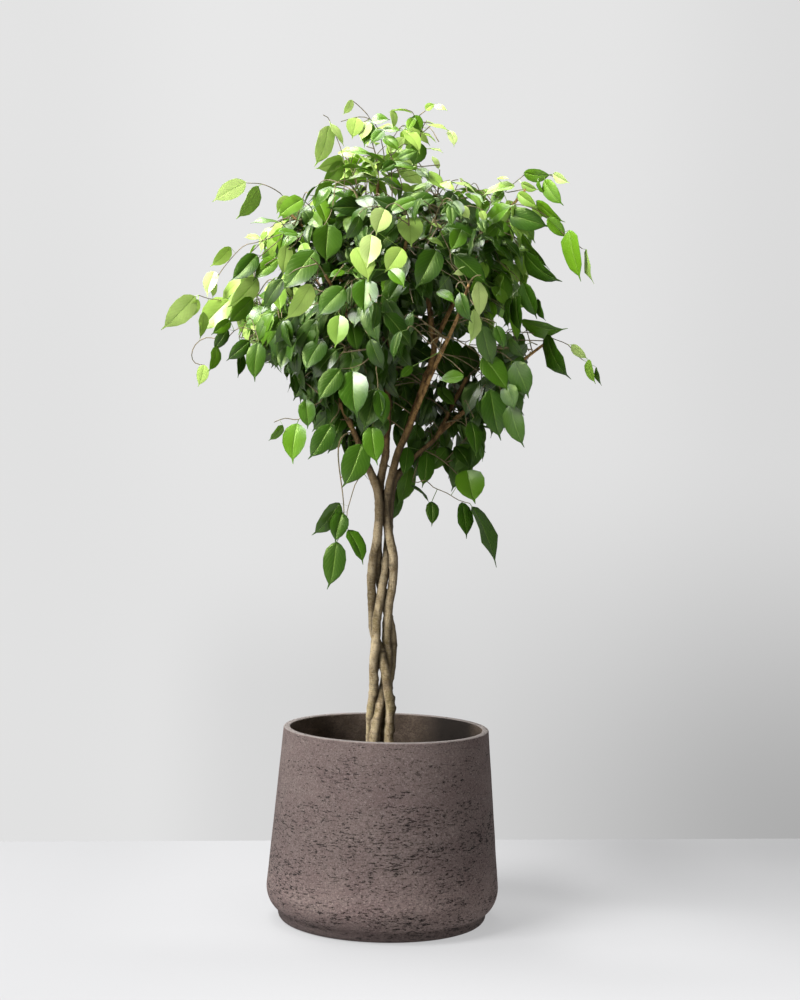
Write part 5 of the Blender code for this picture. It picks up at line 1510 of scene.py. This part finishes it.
def leaf_twig(wood, leaves, route, thick, shoot, first, chance, whole=False):
    """One twig with its alternate leaves, the last of them at its tip, all kept inside the crown."""
    while len(route) > 4 and not in_crown(route[-1]):
        route = route[:-1]
    if not in_crown(route[-1]):
        return
    far = distances(route)
    total = far[-1]
    number = max(2, round((total - first) / LEAF_SPACING))
    needed = 0.84 * total if whole else 0
    for i in range(number):
        share = i / (number - 1)
        spot = first + (total - first) * share
        root, along = walk(route, spot)
        spin = Matrix.Rotation(chance.uniform(-0.9, 0.9), 3, along)
        out = (spin @ (level_across(along, Vector((1, 0, 0))) * (-1) ** i)).normalized()
        outward = (root - Vector((0, 0, min(root.z, 0.90)))).normalized()
        height = min(1, max(0, (root.z - 0.70) / 0.45))
        hanging = 1.05 - 0.75 * height + 0.15 * shoot.hang + chance.uniform(-0.35, 0.45)
        end = 0.9 if i == number - 1 else 0.35
        axis = (out * chance.uniform(0.3, 0.9) + along * end + outward * 0.35 - UP * hanging).normalized()
        scatter = Vector([chance.uniform(-1, 1) for _ in range(3)])
        top = outward * 0.5 + SUNNY_SIDE * 0.9 + UP * 0.35 + scatter
        length = shoot.leaf_length * chance.uniform(*LEAF_LENGTHS) * (1 - 0.15 * share)
        youth = youth_with_painted_light(shoot, share, root, chance)
        width = length * LEAF_WIDTH_SHARE * chance.uniform(0.88, 1.1)
        neck = root + (out * 0.6 + axis * 0.5).normalized() * length * chance.uniform(*STALK_LENGTHS)
        middle = neck + axis * length * 0.5
        bend = chance.uniform(*LEAF_BENDS)
        inside = in_crown(middle) and in_crown(neck + axis * length, 0.010)
        hollow = shaded(middle)
        sunk = hollow < 0.8 or middle.y > -0.08
        if inside and sunk and not in_window(middle) and not hides_spray(middle):
            # Painted shade: leaves in a shaded hollow lose their lime and get a darker tone.
            youth *= 1 - hollow
            outness = min(1, out_share(middle) * 1.6) * (0.5 + 0.5 * height) * (1 - 0.8 * hollow)
            add_leaf(leaves, root, neck, axis, top, length, width, youth, bend, chance, outness)
            needed = max(needed, spot)
    if needed:
        add_twig(wood, [p for i, p in enumerate(route) if i < 3 or far[i] <= needed], thick)


def grow_side_twigs(wood, leaves, main, shoot, chance):
    """Side twigs on alternate sides of a shoot, closer together at the back of the crown."""
    length = distances(main)[-1]
    count = round(length / (BACK_TWIG_SPACING if main[-1].y > 0.03 else SIDE_TWIG_SPACING))
    for i in range(count):
        spot = length * (0.04 + 0.80 * (i + chance.uniform(-0.25, 0.25)) / max(1, count - 1))
        fork, along = walk(main, max(0.004, spot))
        spin = Matrix.Rotation(chance.uniform(-1.2, 1.2), 3, along)
        sideways = level_across(along, Vector((0, 1, 0))) * (-1) ** i
        away = (spin @ sideways + along * 0.6).normalized()
        reach = chance.uniform(*SIDE_TWIG_REACH)
        end = fork + away * reach - UP * reach * chance.uniform(0.0, 0.5) * (0.4 + 0.6 * max(0, shoot.hang))
        side = twig_route(fork, away, end, min(1, max(0.2, shoot.hang + 0.2)), 8)
        leaf_twig(wood, leaves, side, SIDE_TWIG_RADIUS, shoot, FIRST_SIDE_LEAF, chance)


def grow_inner_twigs(wood, leaves, shoot, chance):
    """Twigs from the parent's own bark, all round it, which fill the crown's heart."""
    parent = wood_routes[shoot.parent]
    for _ in range(INNER_TWIGS):
        share = 0.55 * shoot.share + 0.45 * chance.random() if shoot.share < 1 else chance.uniform(0.7, 1)
        place = int(share * (len(parent) - 2))
        fork, along = parent[place], (parent[place + 1] - parent[place]).normalized()
        if fork.z < 0.70:
            continue
        level = level_across(along, Vector((1, 0, 0)), 0.1)
        away = (Matrix.Rotation(chance.uniform(0, math.tau), 3, along) @ level + along * 0.4).normalized()
        away.y = abs(away.y) if fork.z < 0.88 else away.y
        reach = chance.uniform(*INNER_TWIG_REACH)
        side = twig_route(fork, away, fork + away * reach - UP * 0.4 * reach, 0.5, 8)
        leaf_twig(wood, leaves, side, SIDE_TWIG_RADIUS, shoot, FIRST_SIDE_LEAF, chance)


for number, shoot in enumerate(SHOOTS, 1):
    chance = random.Random(500 + number)
    tip = Vector(shoot.tip)
    start, direction = fork_of(shoot, tip)
    main = twig_route(start, direction, tip, shoot.hang)
    twigs, foliage = bmesh.new(), bmesh.new()
    if number == LONE_SHOOT:
        add_twig(twigs, main, TWIG_RADIUS)
    else:
        first = min(0.25 * distances(main)[-1], 0.03)
        leaf_twig(twigs, foliage, main, TWIG_RADIUS, shoot, first, chance, whole=True)
        grow_side_twigs(twigs, foliage, main, shoot, chance)
        grow_inner_twigs(twigs, foliage, shoot, chance)
    for place, spray in enumerate(SPRAYS):
        if spray.shoot == number:
            grow_spray(twigs, foliage, main, spray, random.Random(900 + place))
    leafy_faces = len(foliage.faces)
    move_into(foliage, twigs)
    foliage.faces.ensure_lookup_table()
    for face in foliage.faces[leafy_faces:]:
        face.material_index = 1
    name = f"shoot_{number:02d}"
    show(f"{name}_leaves", foliage, [leaf.material, twig_skin.material], name, 24)
bpy.data.meshes.remove(leaf_pattern)
